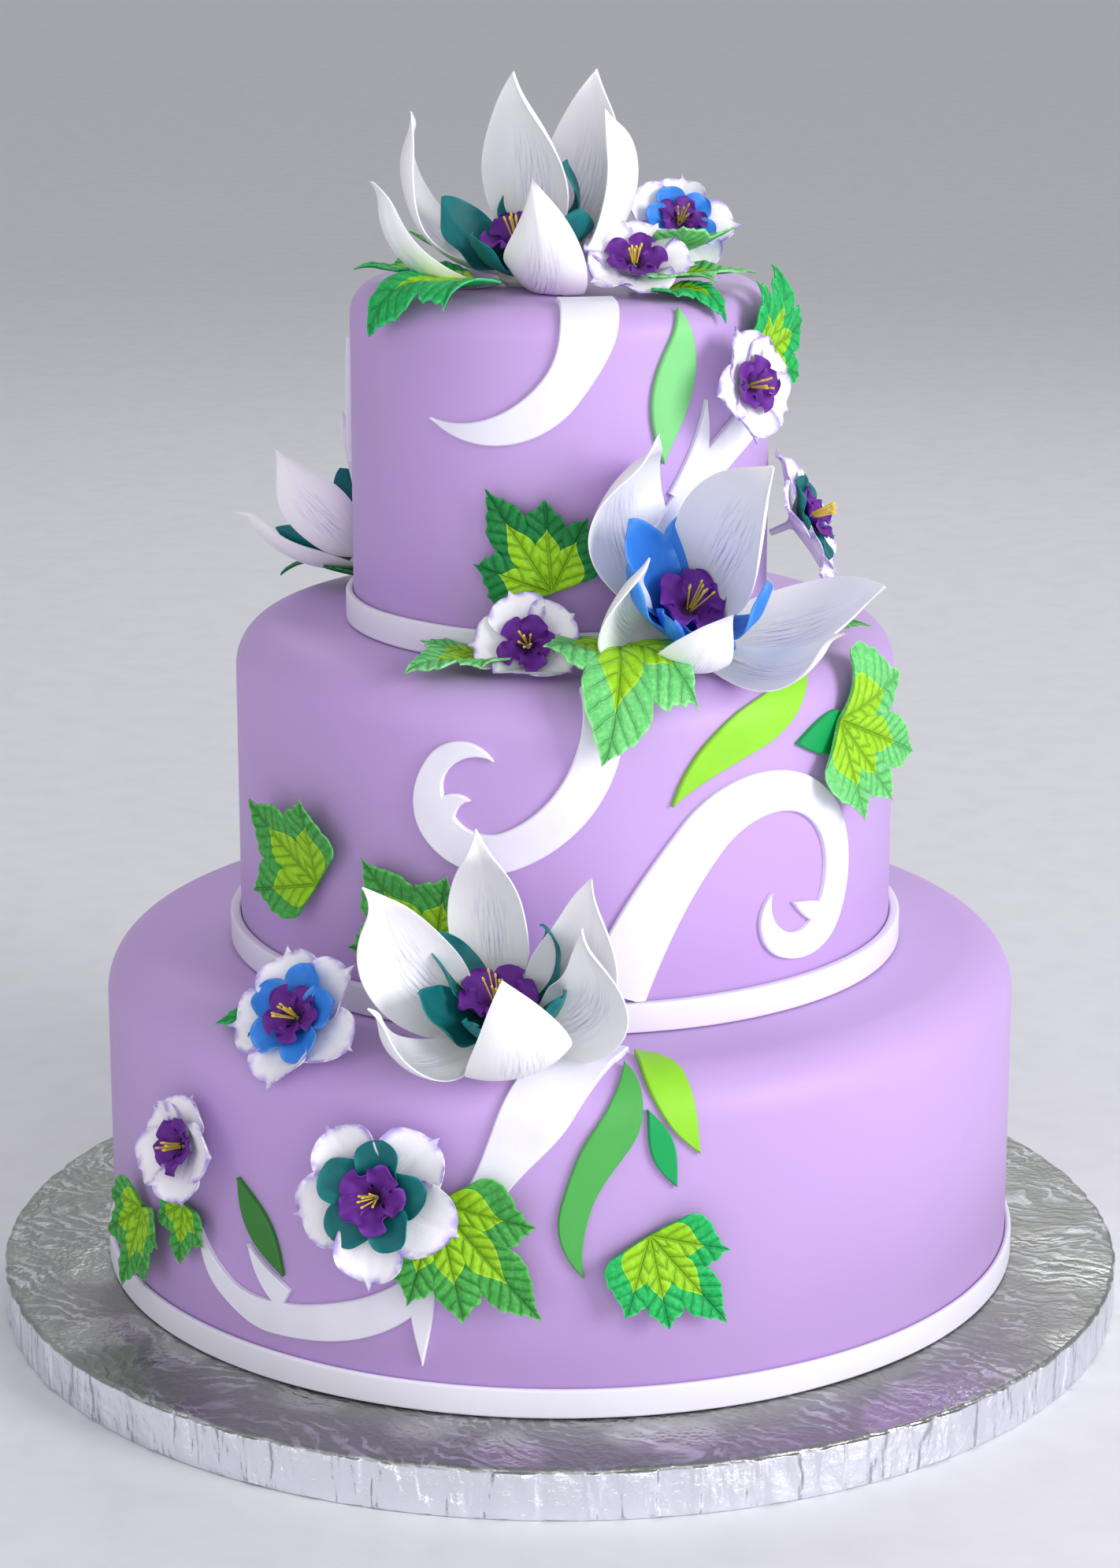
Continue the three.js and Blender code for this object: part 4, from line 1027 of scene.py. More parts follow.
@dataclass(frozen=True)
class IvyLeaf:
    """A pressed ivy leaf: cutter, size and tier, then its stalk end, its heading and its tip's rise."""

    node: str
    cutter: Cutter
    size: LeafSize
    tier: str
    level: Level
    turn: float
    heading: float
    rise: float
    green: Green
    layer: Layer = Layer.RESTING
    thickness: float = 1.3
    flank_steps: int = 14
    rings: int = 30
    notch: float = 0.76
    base_angle: float = 44.0
    base_reach: float = 0.36
    heart_tip: float = 0.68
    heart_notch: float = 0.62

    @staticmethod
    def flank(start: Array, tip: Array, shares: Array) -> Array:
        """Curve from a notch to a lobe's tip, full at first and drawn out at its end.

        Args:
            start: the notch.
            tip: the tip.
            shares: where to read the curve, from 0 at the notch to 1 at the tip.

        Returns:
            One point for each share.
        """
        axis = tip / np.linalg.norm(tip)
        out = start - axis * (start @ axis)
        out /= np.linalg.norm(out)
        length = np.linalg.norm(tip - start)
        full = start + (axis * 0.42 + out * 0.17) * length
        drawn = tip - (axis * 0.36 - out * 0.1) * length
        s = shares[:, None]
        return ((1 - s) ** 3 * start + 3 * s * (1 - s) ** 2 * full + 3 * s * s * (1 - s) * drawn + s**3 * tip)

    def outline(self, tip_share: float = 1.0, notch_share: float = 1.0) -> Array:
        """Corners round the leaf from one side of its stalk to the other, in its own plane.

        Args:
            tip_share: how far out the lobes' tips are, as a share of the leaf's own.
            notch_share: how far out the notches are.

        Returns:
            The corners.
        """
        lobes = self.cutter.value
        turns = [(lobes[0][0] - self.base_angle, self.base_reach * notch_share)]
        for number, (angle, reach) in enumerate(lobes):
            if number:
                last_angle, last_reach = lobes[number - 1]
                depth = self.notch * notch_share
                turns.append(((angle + last_angle) / 2, depth * min(reach, last_reach)))
            turns.append((angle, reach * tip_share))
        turns.append((lobes[-1][0] + self.base_angle, self.base_reach * notch_share))
        aims = np.radians([angle for angle, _ in turns])
        reaches = self.size.value * np.array([reach for _, reach in turns])
        bare = reaches[:, None] * np.stack([np.sin(aims), np.cos(aims)], -1)
        up = np.linspace(0, 1, self.flank_steps + 1)[:-1]
        edge = []
        for number, (start, end) in enumerate(zip(bare[:-1], bare[1:])):
            rising = number % 2 == 0
            edge.append(self.flank(start, end, up) if rising else self.flank(end, start, 1 - up))
        return np.vstack([*edge, bare[-1:]])

    def nibbled(self, corners: Array) -> Array:
        """The outline with soft shallow teeth."""
        step = np.linalg.norm(np.diff(corners, axis=0, prepend=corners[:1]), axis=1)
        along = np.cumsum(step)
        away = corners / np.maximum(np.linalg.norm(corners, axis=1, keepdims=True), 1e-6)
        teeth = 0.5 * np.sin(along * 1.05 + self.turn) + 0.28 * np.sin(along * 2.3 + self.heading)
        fade = np.minimum(np.arange(len(corners)), np.arange(len(corners))[::-1]) / 6
        return corners + away * (teeth * np.minimum(fade, 1))[:, None]

    def ribs(self, spots: Array) -> tuple[Array, Array]:
        """Distance from the nearest rib, and the distance along it, of places in the leaf's plane."""
        aims = np.radians([angle for angle, _ in self.cutter.value])
        ways = np.stack([np.sin(aims), np.cos(aims)], -1)
        along = spots @ ways.T
        off = np.abs(spots @ np.stack([ways[:, 1], -ways[:, 0]]))
        nearest = (off + np.where(along < 0, 99, 0)).argmin(-1)[..., None]
        rib, run = (np.take_along_axis(values, nearest, -1)[..., 0] for values in (off, along))
        return rib, run

    def add_layer(self, shape: Shape, edge: Array, raised: float, thickness: float, finish: int) -> None:
        """Adds one cut-out of paste, draped on the tier.

        Args:
            shape: the shape to add to.
            edge: its outline in the leaf's plane.
            raised: how far its underside is above the leaf's own.
            thickness: its thickness.
            finish: which of the shape's finishes it takes.
        """
        tier = TIERS[self.tier]
        grown = np.linspace(0, 1, self.rings + 1)[:, None] * np.ones(len(edge))
        spots = edge[None] * grown[..., None]
        side, ahead = spots[..., 0], spots[..., 1]
        aim = math.radians(self.heading)
        low, high = tier.climb_range()
        climb = np.clip(self.level.value + ahead * math.cos(aim) - side * math.sin(aim), low, high)
        turn = self.turn + tier.turn_over(climb, ahead * math.sin(aim) + side * math.cos(aim))
        distance = np.hypot(side, ahead)
        share = distance / self.size.value
        bend = 1.6 * np.sin(2 * tier.skin(climb)[2])
        lift = self.layer.value + bend + self.rise * share**1.5 + 0.12 * np.abs(side)
        rib, run = self.ribs(spots)
        puff = np.abs(np.sin((run - rib * 0.85) * math.pi / 5.2)) * np.minimum(rib / 2.5, 1)
        wave = np.sin(run * 0.33 + self.turn) * np.minimum(rib / 6, 1.4)
        relief = 0.4 * puff - 0.5 * np.exp(-((rib / 0.8) ** 2)) + 0.9 * wave * share
        relief = relief * np.minimum(distance / 3, 1)
        rounded = thickness * (1 - 0.5 * grown**10)
        shape.add_sheet(
            tier.place(turn, climb, lift + raised + rounded + relief),
            tier.place(turn, climb, lift + raised + relief * 0.8), finish, grown=grown, rib=rib, run=run,
        )

    def build(self) -> None:
        """Makes the leaf with its paler heart pressed on."""
        shape = Shape()
        self.add_layer(shape, self.nibbled(self.outline()), 0, self.thickness, 0)
        self.add_layer(shape, self.outline(self.heart_tip, self.heart_notch), self.thickness * 0.7, 0.8, 1)
        body, vein_and_shade, light = self.green.value
        name = f"ivy_{self.green.name.lower()}"
        margin = LeafPaint(name, body, 0.55, slot="ivy_green", vein_and_shade=vein_and_shade, light=light)
        place_piece(shape.build(f"{self.node}_leaf", [margin, HEART], 70), "ivy_green", self.node)


IVY = (
    IvyLeaf("ivy_top_front_left", Cutter.THREE, LeafSize.MEDIUM, "top",
            Level.RING, -38, -152, 5, Green.FRESH),
    IvyLeaf("ivy_top_far_left", Cutter.THREE, LeafSize.TINY, "top", Level.RING, -82, 180, 4, Green.FRESH),
    IvyLeaf("ivy_top_behind_flower", Cutter.THREE, LeafSize.SMALL, "top",
            Level.RING, -135, 75, 15, Green.MID),
    IvyLeaf("ivy_top_back", Cutter.THREE, LeafSize.SMALL, "top", Level.INNER, 80, -120, 15, Green.PALE,
            Layer.TOP),
    IvyLeaf("ivy_top_right", Cutter.THREE, LeafSize.MEDIUM, "top", Level.INNER, 48, 135, 2, Green.PALE,
            Layer.OVER),
    IvyLeaf("ivy_top_front_right", Cutter.THREE, LeafSize.TINY, "top", Level.RIM, 42, 165, 2, Green.FRESH,
            Layer.PRESSED),
    IvyLeaf("ivy_top_side", Cutter.FIVE, LeafSize.SMALL, "top", Level.HIGH, 62, 75, 9, Green.FRESH),
    IvyLeaf("ivy_ledge_upright", Cutter.FOUR, LeafSize.MEDIUM, "top", Level.FOOT, -2, -32, 1, Green.DEEP),
    IvyLeaf("ivy_ledge_left", Cutter.THREE, LeafSize.SMALL, "middle", Level.RING, -18, -145, 4, Green.PALE),
    IvyLeaf("ivy_ledge_front", Cutter.THREE, LeafSize.MEDIUM, "middle", Level.RIM, 12, -160, 2, Green.PALE,
            Layer.TOP),
    IvyLeaf("ivy_ledge_right", Cutter.THREE, LeafSize.SMALL, "middle", Level.RING, 55, 140, 7, Green.MID),
    IvyLeaf("ivy_ledge_back_left", Cutter.THREE, LeafSize.SMALL, "middle",
            Level.RING, -125, 165, 8, Green.DEEP),
    IvyLeaf("ivy_middle_right", Cutter.FOUR, LeafSize.LARGE, "middle", Level.HIGH, 50, 115, 8, Green.PALE),
    IvyLeaf("ivy_middle_left", Cutter.THREE, LeafSize.MEDIUM, "middle", Level.LOWER, -44, -55, 6, Green.MID),
    IvyLeaf("ivy_middle_behind_flower", Cutter.THREE, LeafSize.MEDIUM, "middle",
            Level.FOOT, -21, -40, 3, Green.MID),
    IvyLeaf("ivy_bottom_ledge", Cutter.THREE, LeafSize.TINY, "bottom", Level.RIM, -41, -135, 2, Green.FRESH,
            Layer.PRESSED),
    IvyLeaf("ivy_bottom_large", Cutter.FOUR, LeafSize.LARGE, "bottom", Level.SIDE, -14, 138, 6, Green.MID),
    IvyLeaf("ivy_bottom_right", Cutter.FOUR, LeafSize.MEDIUM, "bottom",
            Level.MIDDLE, 10, 142, 5, Green.FRESH),
    IvyLeaf("ivy_bottom_far_left", Cutter.FIVE, LeafSize.SMALL, "bottom",
            Level.LOWER, -60, -165, 7, Green.MID),
    IvyLeaf("ivy_bottom_below_flower", Cutter.THREE, LeafSize.TINY, "bottom",
            Level.LOW, -50, -175, 2, Green.MID),
)


# ---------------------------------------------------------------- flowers


@dataclass(frozen=True)
class Stand:
    """Where a flower stands: (turn, climb, lift) on a tier, its rise above level and its face.

    It looks outwards along its own turn, or along the turn named by face.
    """

    tier: str
    at: tuple[float, float, float]
    rise: float
    face: float | None = None


@dataclass(frozen=True)
class FlowerAxes:
    """Where a flower's petals meet, the way it looks, its right-hand side and its top."""

    base: Array
    look: Array
    side: Array
    top: Array

    @classmethod
    def standing(cls, stand: Stand) -> "FlowerAxes":
        """Axes of a flower that stands on a tier."""
        base = TIERS[stand.tier].place(*(np.array(float(value)) for value in stand.at))
        compass = math.radians(stand.at[0] if stand.face is None else stand.face)
        level = math.radians(stand.rise)
        ahead = np.array([math.sin(compass) * math.cos(level), -math.cos(compass) * math.cos(level),
                          math.sin(level)])
        side = np.cross([0, 0, 1], ahead)
        side /= np.linalg.norm(side)
        return cls(base, ahead, side, np.cross(ahead, side))

    def ring(self, radius: Array, height: Array, spin: Array) -> Array:
        """Points round the flower's axis; spin in radians."""
        out = np.cos(spin)[..., None] * self.top + np.sin(spin)[..., None] * self.side
        return self.base + radius[..., None] * out + height[..., None] * self.look


@dataclass(frozen=True)
class Petal:
    """A petal by rule: its spin about the flower, lean at the root, bend to the tip and the rest.

    Angles are in degrees. ruffle is the height of its rim's waves, with ripples of them along it.
    hook turns its tip back, flick bends the tip sideways and point draws it out, the last two in
    millimetres. hook_from and flick_from are the shares of its length where those two begin.
    """

    spin: float
    lean: float
    bend: float
    length: float
    width: float
    cup: float = 40.0
    roll: float = 0.0
    peak: float = 0.5
    tip: float = 0.8
    claw: float = 0.16
    ruffle: float = 0.0
    ripples: float = 3.0
    phase: float = 0.0
    hook: float = 0.0
    flick: float = 0.0
    point: float = 0.0
    hook_from: float = 0.82
    flick_from: float = 0.62

    def span(self, along: Array) -> Array:
        """Share of the full width at a share of the length."""
        root_power = self.tip * self.peak / (1 - self.peak)
        shape = along**root_power * (1 - along) ** self.tip
        shape /= self.peak**root_power * (1 - self.peak) ** self.tip
        claw = self.claw * (1 - along) ** 2
        return claw + (1 - claw) * shape

    def add_to(self, shape: Shape, axes: FlowerAxes, root: float, height: float, finish: int = 0,
               thickness: float = 1.3, rows: int = 36, columns: int = 20, clearance: float = 1.0) -> None:
        """Adds the petal to a shape.

        Args:
            shape: the shape.
            axes: the flower's axes.
            root: how far from the flower's axis it starts.
            height: how far along the flower's axis it starts.
            finish: which of the shape's finishes it takes.
            thickness: its thickness in the middle.
            rows: rows of faces along it.
            columns: columns of faces across it.
            clearance: how far it keeps off the icing.
        """
        even = np.linspace(0, 1, rows + 1)[:, None]
        v = 0.6 * even + 0.4 * np.sin(even * math.pi / 2)
        u = np.linspace(-1, 1, columns + 1)[None]
        curve = math.radians(self.bend) / self.length
        curve = curve if abs(curve) > 1e-5 else 1e-5
        lean = math.radians(self.lean)
        hook = math.radians(self.hook) * (np.maximum(v - self.hook_from, 0) / (1 - self.hook_from)) ** 2
        angle = lean + curve * v * self.length
        reach = root + (math.cos(lean) - np.cos(angle)) / curve
        climb = height + (np.sin(angle) - math.sin(lean)) / curve
        past = np.maximum(v - self.hook_from, 0) * self.length
        drawn = self.point * v**8 * np.exp(-((u / 0.2) ** 2))
        reach = reach + past * np.sin(hook) * np.cos(angle) + drawn * np.sin(angle)
        climb = climb - past * np.sin(hook) * np.sin(angle) + drawn * np.cos(angle)
        aside = self.flick * (np.maximum(v - self.flick_from, 0) / (1 - self.flick_from)) ** 2
        spin, roll = math.radians(self.spin), math.radians(self.roll)
        out = math.cos(spin) * axes.top + math.sin(spin) * axes.side
        across = np.cross(axes.look, out)
        inward = -np.cos(angle)[..., None] * out + np.sin(angle)[..., None] * axes.look
        wide = math.cos(roll) * across + math.sin(roll) * inward
        deep = math.cos(roll) * inward - math.sin(roll) * across
        cup = math.radians(max(self.cup, 5))
        span = self.width / 2 * self.span(v)
        turn = cup * u
        spot = (axes.base + reach[..., None] * out + climb[..., None] * axes.look
                + aside[..., None] * across
                + (span * np.sin(turn) / cup)[..., None] * wide
                + (span * (1 - np.cos(turn)) / cup)[..., None] * deep)
        normal = deep * np.cos(turn)[..., None] - wide * np.sin(turn)[..., None]
        waves = np.sin(math.tau * self.ripples * v + self.phase + 1.9 * (u > 0))
        frill = self.ruffle * waves * np.abs(u) ** 2.2 * np.minimum(4 * v, 1)
        groove = -0.35 * np.exp(-((u * span / 1.3) ** 2)) * np.minimum(6 * v * (1 - v), 1)
        spot = clear_of_cake(spot + (frill + groove)[..., None] * normal, clearance)
        rim = np.maximum(np.abs(u), (v * 2 - 1).clip(0)) ** 4 * np.ones_like(spot[..., 0])
        half = (thickness / 2 * (1 - 0.6 * rim))[..., None] * normal
        marks = {"along": v * np.ones_like(u), "across": np.abs(u) * np.ones_like(v)}
        shape.add_sheet(spot + half, spot - half, finish, **marks)


@dataclass
class Stamens:
    """All the flowers' stamens: fine filaments with grainy heads, grown from points by one tree."""

    filament: float = 0.3
    head: float = 0.62
    starts: list[Array] = field(default_factory=list)
    aims: list[Array] = field(default_factory=list)
    lengths: list[float] = field(default_factory=list)

    def bunch(self, axes: FlowerAxes, count: int, start: float, length: float, seed: int) -> None:
        """Adds a bunch to one flower.

        Args:
            axes: the flower's axes.
            count: how many filaments.
            start: how far along the flower's axis they start.
            length: how long they are.
            seed: the draw of their spread.
        """
        rng = np.random.default_rng(seed)
        for number in range(count):
            spin = math.tau * number / count + rng.uniform(-0.4, 0.4)
            way = math.cos(spin) * axes.top + math.sin(spin) * axes.side
            lean = rng.uniform(0.08, 0.3) if number else 0.03
            aim = axes.look + way * lean
            self.starts.append(axes.base + axes.look * start + way * 0.8)
            self.aims.append(aim / np.linalg.norm(aim))
            self.lengths.append(length * rng.uniform(0.78, 1.05))

    def tree(self) -> ShapeTree:
        """Filaments on the points and heads at their ends, both turned along each point's aim."""
        tree = ShapeTree("stamen_bunch", {"Filament": 0.0004, "Head": 0.0008})
        aim = tree.node("GeometryNodeInputNamedAttribute", {"data_type": "FLOAT_VECTOR"}, {"Name": "aim"})
        length = tree.node("GeometryNodeInputNamedAttribute", {"data_type": "FLOAT"}, {"Name": "long"})
        turn = tree.node("FunctionNodeAlignRotationToVector", {"axis": "Z"}, {"Vector": aim})
        stem = tree.node("GeometryNodeCurveToMesh", {}, {
            "Curve": tree.node("GeometryNodeCurvePrimitiveLine", {}, {"End": (0, 0, 1)}),
            "Profile Curve": tree.node("GeometryNodeCurvePrimitiveCircle", {},
                                       {"Resolution": 7, "Radius": tree.given("Filament")}),
            "Fill Caps": True,
        })
        size = tree.node("ShaderNodeCombineXYZ", {}, {0: 1.0, 1: 1.0, 2: length})
        stems = tree.node("GeometryNodeInstanceOnPoints", {}, {
            "Points": tree.given("Geometry"), "Instance": stem, "Rotation": turn, "Scale": size,
        })
        ends = tree.node("GeometryNodeSetPosition", {}, {
            "Geometry": tree.given("Geometry"),
            "Offset": tree.node("ShaderNodeVectorMath", {"operation": "SCALE"}, {0: aim, 3: length}),
        })
        ball = tree.node("GeometryNodeMeshIcoSphere", {}, {"Radius": tree.given("Head"), "Subdivisions": 3})
        heads = tree.node("GeometryNodeInstanceOnPoints", {},
                          {"Points": ends, "Instance": ball, "Rotation": turn, "Scale": (0.8, 0.8, 2.0)})
        tree.end(tree.node("GeometryNodeJoinGeometry", {}, {0: [stems, heads]}), STAMEN)
        return tree

    def build(self) -> None:
        """Grows every bunch into one mesh."""
        start = bpy.data.meshes.new("stamen_starts")
        start.from_pydata((np.array(self.starts) * MM).tolist(), [], [])
        start.attributes.new("aim", "FLOAT_VECTOR", "POINT").data.foreach_set(
            "vector", np.array(self.aims, np.float32).reshape(-1))
        start.attributes.new("long", "FLOAT", "POINT").data.foreach_set(
            "value", (np.array(self.lengths) * MM).astype(np.float32))
        mesh = self.tree().grow(start, {"Filament": self.filament * MM, "Head": self.head * MM})
        mesh.materials.clear()
        place_piece(settle(mesh, "flower_stamens", [STAMEN], 60), "")


STAMENS = Stamens()


def add_cup(shape: Shape, axes: FlowerAxes, low: float, high: float, radius: float, finish: int = 0) -> None:
    """Adds the small round cup that a flower's petals grow from.

    Args:
        shape: the shape to add to.
        axes: the flower's axes.
        low: where it starts along the flower's axis.
        high: where it ends.
        radius: its widest radius.
        finish: which of the shape's finishes it takes.
    """
    profile = np.array([(0, low), (0.55, low), (0.9, low * 0.6 + high * 0.4), (1, high * 0.85 + low * 0.15),
                        (0.8, high), (0, high)])
    spin = np.arange(28) * math.tau / 28
    rings = axes.ring(profile[:, :1] * radius * np.ones(28), profile[:, 1:] * np.ones(28),
                      np.broadcast_to(spin, (len(profile), 28)))
    shape.add_loft(clear_of_cake(rings, 0.3), finish, closed=False)


def add_ruffle(shape: Shape, axes: FlowerAxes, reach: float, height: float, rise: float, finish: int,
               seed: int) -> None:
    """Adds a purple ruffled centre of five frilled petals.

    Args:
        shape: the shape to add to.
        axes: the flower's axes.
        reach: how far the petals reach from the axis.
        height: where they start along the axis.
        rise: how far they rise.
        finish: which of the shape's finishes they take.
        seed: the draw of their small differences.
    """
    rng = np.random.default_rng(seed)
    slope = math.degrees(math.atan2(reach - 1.5, rise))
    length = math.hypot(reach - 1.5, rise) * 1.06
    for number in range(5):
        lean = slope - 16 + rng.uniform(-5, 5)
        Petal(FIFTH * number + 20 + rng.uniform(-7, 7), lean, 34, length * rng.uniform(0.92, 1.06),
              length * 0.86, 34, rng.uniform(-12, 12), peak=0.66, tip=0.5, claw=0.3,
              ruffle=length * 0.1, ripples=2.4, phase=rng.uniform(0, 6)).add_to(
                  shape, axes, 1.2, height, finish, 0.8, 22, 18)


@dataclass(frozen=True)
class Bent:
    """A cut petal bent by hand: lean at the root, bend to the tip, length, width and cup."""

    lean: float
    bend: float
    length: float = 80.0
    width: float = 38.0
    cup: float = 35.0


class Kind(Enum):
    """The ways that large flowers' petals are cut and bent."""

    UPRIGHT = Bent(20, -40, width=46, cup=45)
    RAISED = Bent(60, -75)
    OPEN = Bent(90, -95)
    CURLED = Bent(90, -135, cup=30)
    NARROW = Bent(90, -105, 84, 22)
    BROAD = Bent(55, -30, 38, 25, 45)
    CUPPED = Bent(70, -60, 38, 25)
    QUILL = Bent(70, -100, 50, 20, 15)


@dataclass(frozen=True)
class Pose:
    """One petal of a large flower: its kind, its hour on a clock face, its roll and its size."""

    kind: Kind
    hour: float
    roll: float = 0.0
    size: float = 1.0

    def petal(self, **details: float) -> Petal:
        """The petal, with any further fields of its own."""
        bent = self.kind.value
        return Petal(HOUR * self.hour, bent.lean, bent.bend, bent.length * self.size, bent.width * self.size,
                     bent.cup, self.roll, peak=0.45, **details)


@dataclass(frozen=True)
class Flower:
    """A large sugar flower: white petals, coloured inner petals and a ruffled purple centre."""

    node: str
    stand: Stand
    inner: str
    outer_poses: Sequence[Pose]
    inner_poses: Sequence[Pose]
    seed: int = 1

    def build(self) -> None:
        """Makes the flower's three pieces and its stamens."""
        axes = FlowerAxes.standing(self.stand)
        rng = np.random.default_rng(self.seed)
        outer = Shape()
        for pose in self.outer_poses:
            pose.petal(tip=0.95, ruffle=0.9, ripples=1.3, phase=rng.uniform(0, 6), hook=rng.uniform(10, 35),
                       flick=rng.uniform(-6, 6)).add_to(outer, axes, 8, 0, 0, 1.3, 48, 26)
        add_cup(outer, axes, -3, 2.6, 9.5)
        place_piece(outer.build(f"{self.node}_petals_sugar", [WHITE_PETAL], 60), "petal_white",
                    f"{self.node}_petals")
        inner = Shape()
        for pose in self.inner_poses:
            pose.petal(tip=0.66, ruffle=1.1, ripples=2.1, phase=rng.uniform(0, 6)).add_to(
                inner, axes, 5.5, 5, 0, 1.1, 34, 22)
        add_cup(inner, axes, 3.4, 7, 7)
        finish = INNER[self.inner]
        place_piece(inner.build(f"{self.node}_inner_sugar", [finish], 60), finish.slot, f"{self.node}_inner")
        centre = Shape()
        add_ruffle(centre, axes, 14, 9.5, 9.5, 0, self.seed)
        add_cup(centre, axes, 8.6, 12, 3.2)
        place_piece(centre.build(f"{self.node}_centre_sugar", [PURPLE_PETAL], 60), "petal_purple",
                    f"{self.node}_centre")
        STAMENS.bunch(axes, 7, 11, 16, self.seed)


class Size(Enum):
    """How far the small flowers' white petals reach, by what is inside them."""

    PLAIN = 23.0
    TEAL = 33.0
    BLUE = 30.0


@dataclass(frozen=True)
class Blossom:
    """A small sugar flower in one piece: white petals, an inner whorl on some, a purple centre."""

    node: str
    kind: Size
    stand: Stand
    hour: float
    stalk: float
    scale: float = 1.0
    seed: int = 1

    @property
    def size(self) -> float:
        """How far the white petals reach."""
        return self.kind.value * self.scale

    @property
    def inner(self) -> str:
        """The inner whorl's colour, or nothing for a plain flower."""
        return "" if self.kind is Size.PLAIN else self.kind.name.lower()

    def build(self) -> None:
        """Makes the flower and its stamens."""
        axes = FlowerAxes.standing(self.stand)
        rng = np.random.default_rng(self.seed)
        shape = Shape()
        finishes = [BLOSSOM_PETAL, PURPLE_PETAL] + ([INNER[self.inner]] if self.inner else [])
        flat = math.degrees(math.acos(min(0.9, 7.0 / self.size)))
        for number in range(5):
            self.white_petal(rng, number, flat).add_to(shape, axes, 2.4, 0.6, 0, 1.0, 34, 22, 3.2)
        if self.inner:
            for number in range(5):
                self.inner_petal(rng, number, flat).add_to(shape, axes, 2, 3.6, 2, 0.9, 26, 18, 3.2)
        reach = self.size * (0.4 if self.inner else 0.5)
        add_ruffle(shape, axes, reach, 5.6 if self.inner else 3.0, reach * 0.5, 1, self.seed + 40)
        self.add_stalk(shape, axes)
        STAMENS.bunch(axes, 6, 7 if self.inner else 5, self.size * 0.5 - 3, self.seed + 9)
        place_piece(shape.build(f"{self.node}_sugar", finishes, 60), "blossom_white", self.node)

    def white_petal(self, rng: np.random.Generator, number: int, flat: float) -> Petal:
        """One of the five white petals, a little different from the next."""
        broad = 0.9 if self.inner else 1.05
        length = self.size * rng.uniform(0.9, 1.0) - 2.4
        return Petal(
            HOUR * self.hour + FIFTH * number + rng.uniform(-4, 4), flat - 8 + rng.uniform(-5, 5), 14, length,
            self.size * broad * rng.uniform(0.94, 1.06), 34, rng.uniform(-9, 9), peak=0.62,
            tip=0.52 if self.inner else 0.42, ruffle=1.0, ripples=1.5, phase=rng.uniform(0, 6),
            hook=rng.uniform(5, 30), flick=rng.uniform(-1.6, 1.6), point=self.size * rng.uniform(0.06, 0.14),
        )

    def inner_petal(self, rng: np.random.Generator, number: int, flat: float) -> Petal:
        """One of the five coloured inner petals, set between the white ones."""
        length = self.size * rng.uniform(0.58, 0.66)
        return Petal(
            HOUR * self.hour + FIFTH / 2 + FIFTH * number + rng.uniform(-6, 6),
            flat - 20 + rng.uniform(-6, 6), 26, length, length * 0.9, 36, rng.uniform(-10, 10),
            peak=0.6, tip=0.5, ruffle=0.7, ripples=1.8, phase=rng.uniform(0, 6),
        )

    def add_stalk(self, shape: Shape, axes: FlowerAxes) -> None:
        """Adds the short stalk that is pushed into the icing."""
        profile = np.array([(0, -self.stalk - 2), (1.3, -self.stalk - 2), (1.6, -1.5), (3.4, 1.2), (0, 1.6)])
        spin = np.broadcast_to(np.arange(16) * math.tau / 16, (len(profile), 16))
        rings = axes.ring(profile[:, :1] * np.ones(16), profile[:, 1:] * np.ones(16), spin)
        shape.add_loft(clear_of_cake(rings, 0.3), 0, closed=False)


FLOWERS = (
    Flower("flower_crown", Stand("top", (-45, 190, 4), 70, -15), "teal", (
        Pose(Kind.UPRIGHT, 0.8), Pose(Kind.RAISED, 1.4, 20, 1.05), Pose(Kind.CURLED, 2.5, -20, 1.1),
        Pose(Kind.CURLED, 5, -35, 0.9), Pose(Kind.NARROW, 7.6, 20), Pose(Kind.CURLED, 9.2, 20, 1.1)), (
        Pose(Kind.BROAD, 0, 20, 1.1), Pose(Kind.QUILL, 2.4), Pose(Kind.CUPPED, 3.8, -20, 1.1),
        Pose(Kind.CUPPED, 9, -20), Pose(Kind.CUPPED, 6.8, -20, 0.9)), 3),
    Flower("flower_middle", Stand("middle", (26, 156, 15), 50), "blue", (
        Pose(Kind.CURLED, 11.1, 0, 1.15), Pose(Kind.UPRIGHT, 1.9, -20, 1.1), Pose(Kind.OPEN, 3.8, 0, 1.05),
        Pose(Kind.NARROW, 5, 20), Pose(Kind.CURLED, 6.7, 0, 0.75), Pose(Kind.CURLED, 8.9, -60, 0.8)), (
        Pose(Kind.BROAD, 10.4, -10, 1.2), Pose(Kind.BROAD, 0.6, 0, 1.2), Pose(Kind.QUILL, 4.7),
        Pose(Kind.CUPPED, 6.2, -20, 0.9), Pose(Kind.CUPPED, 7.6, -20, 0.9),
        Pose(Kind.CUPPED, 9.1, 0, 1.15)), 5),
    Flower("flower_lower", Stand("bottom", (-8, 150, 11), 60), "teal", (
        Pose(Kind.RAISED, 11.7, -20, 0.9), Pose(Kind.RAISED, 2.5, 50, 0.95), Pose(Kind.CURLED, 3.2, 70, 0.9),
        Pose(Kind.CURLED, 5.3, 0, 1.1), Pose(Kind.NARROW, 7.3, -20), Pose(Kind.RAISED, 9.2, -50)), (
        Pose(Kind.BROAD, 10, 20), Pose(Kind.QUILL, 2), Pose(Kind.CUPPED, 4, 0, 1.1),
        Pose(Kind.CUPPED, 6.2, -20, 0.9), Pose(Kind.CUPPED, 8, -20)), 7),
    Flower("flower_back_left", Stand("middle", (-120, 162, 15), 45), "teal",
           tuple(Pose(Kind.RAISED, 2.4 * number, 0, 0.72) for number in range(5)),
           tuple(Pose(Kind.CUPPED, hour, 0, 0.9) for hour in (1, 4, 7, 10)), 9),
)

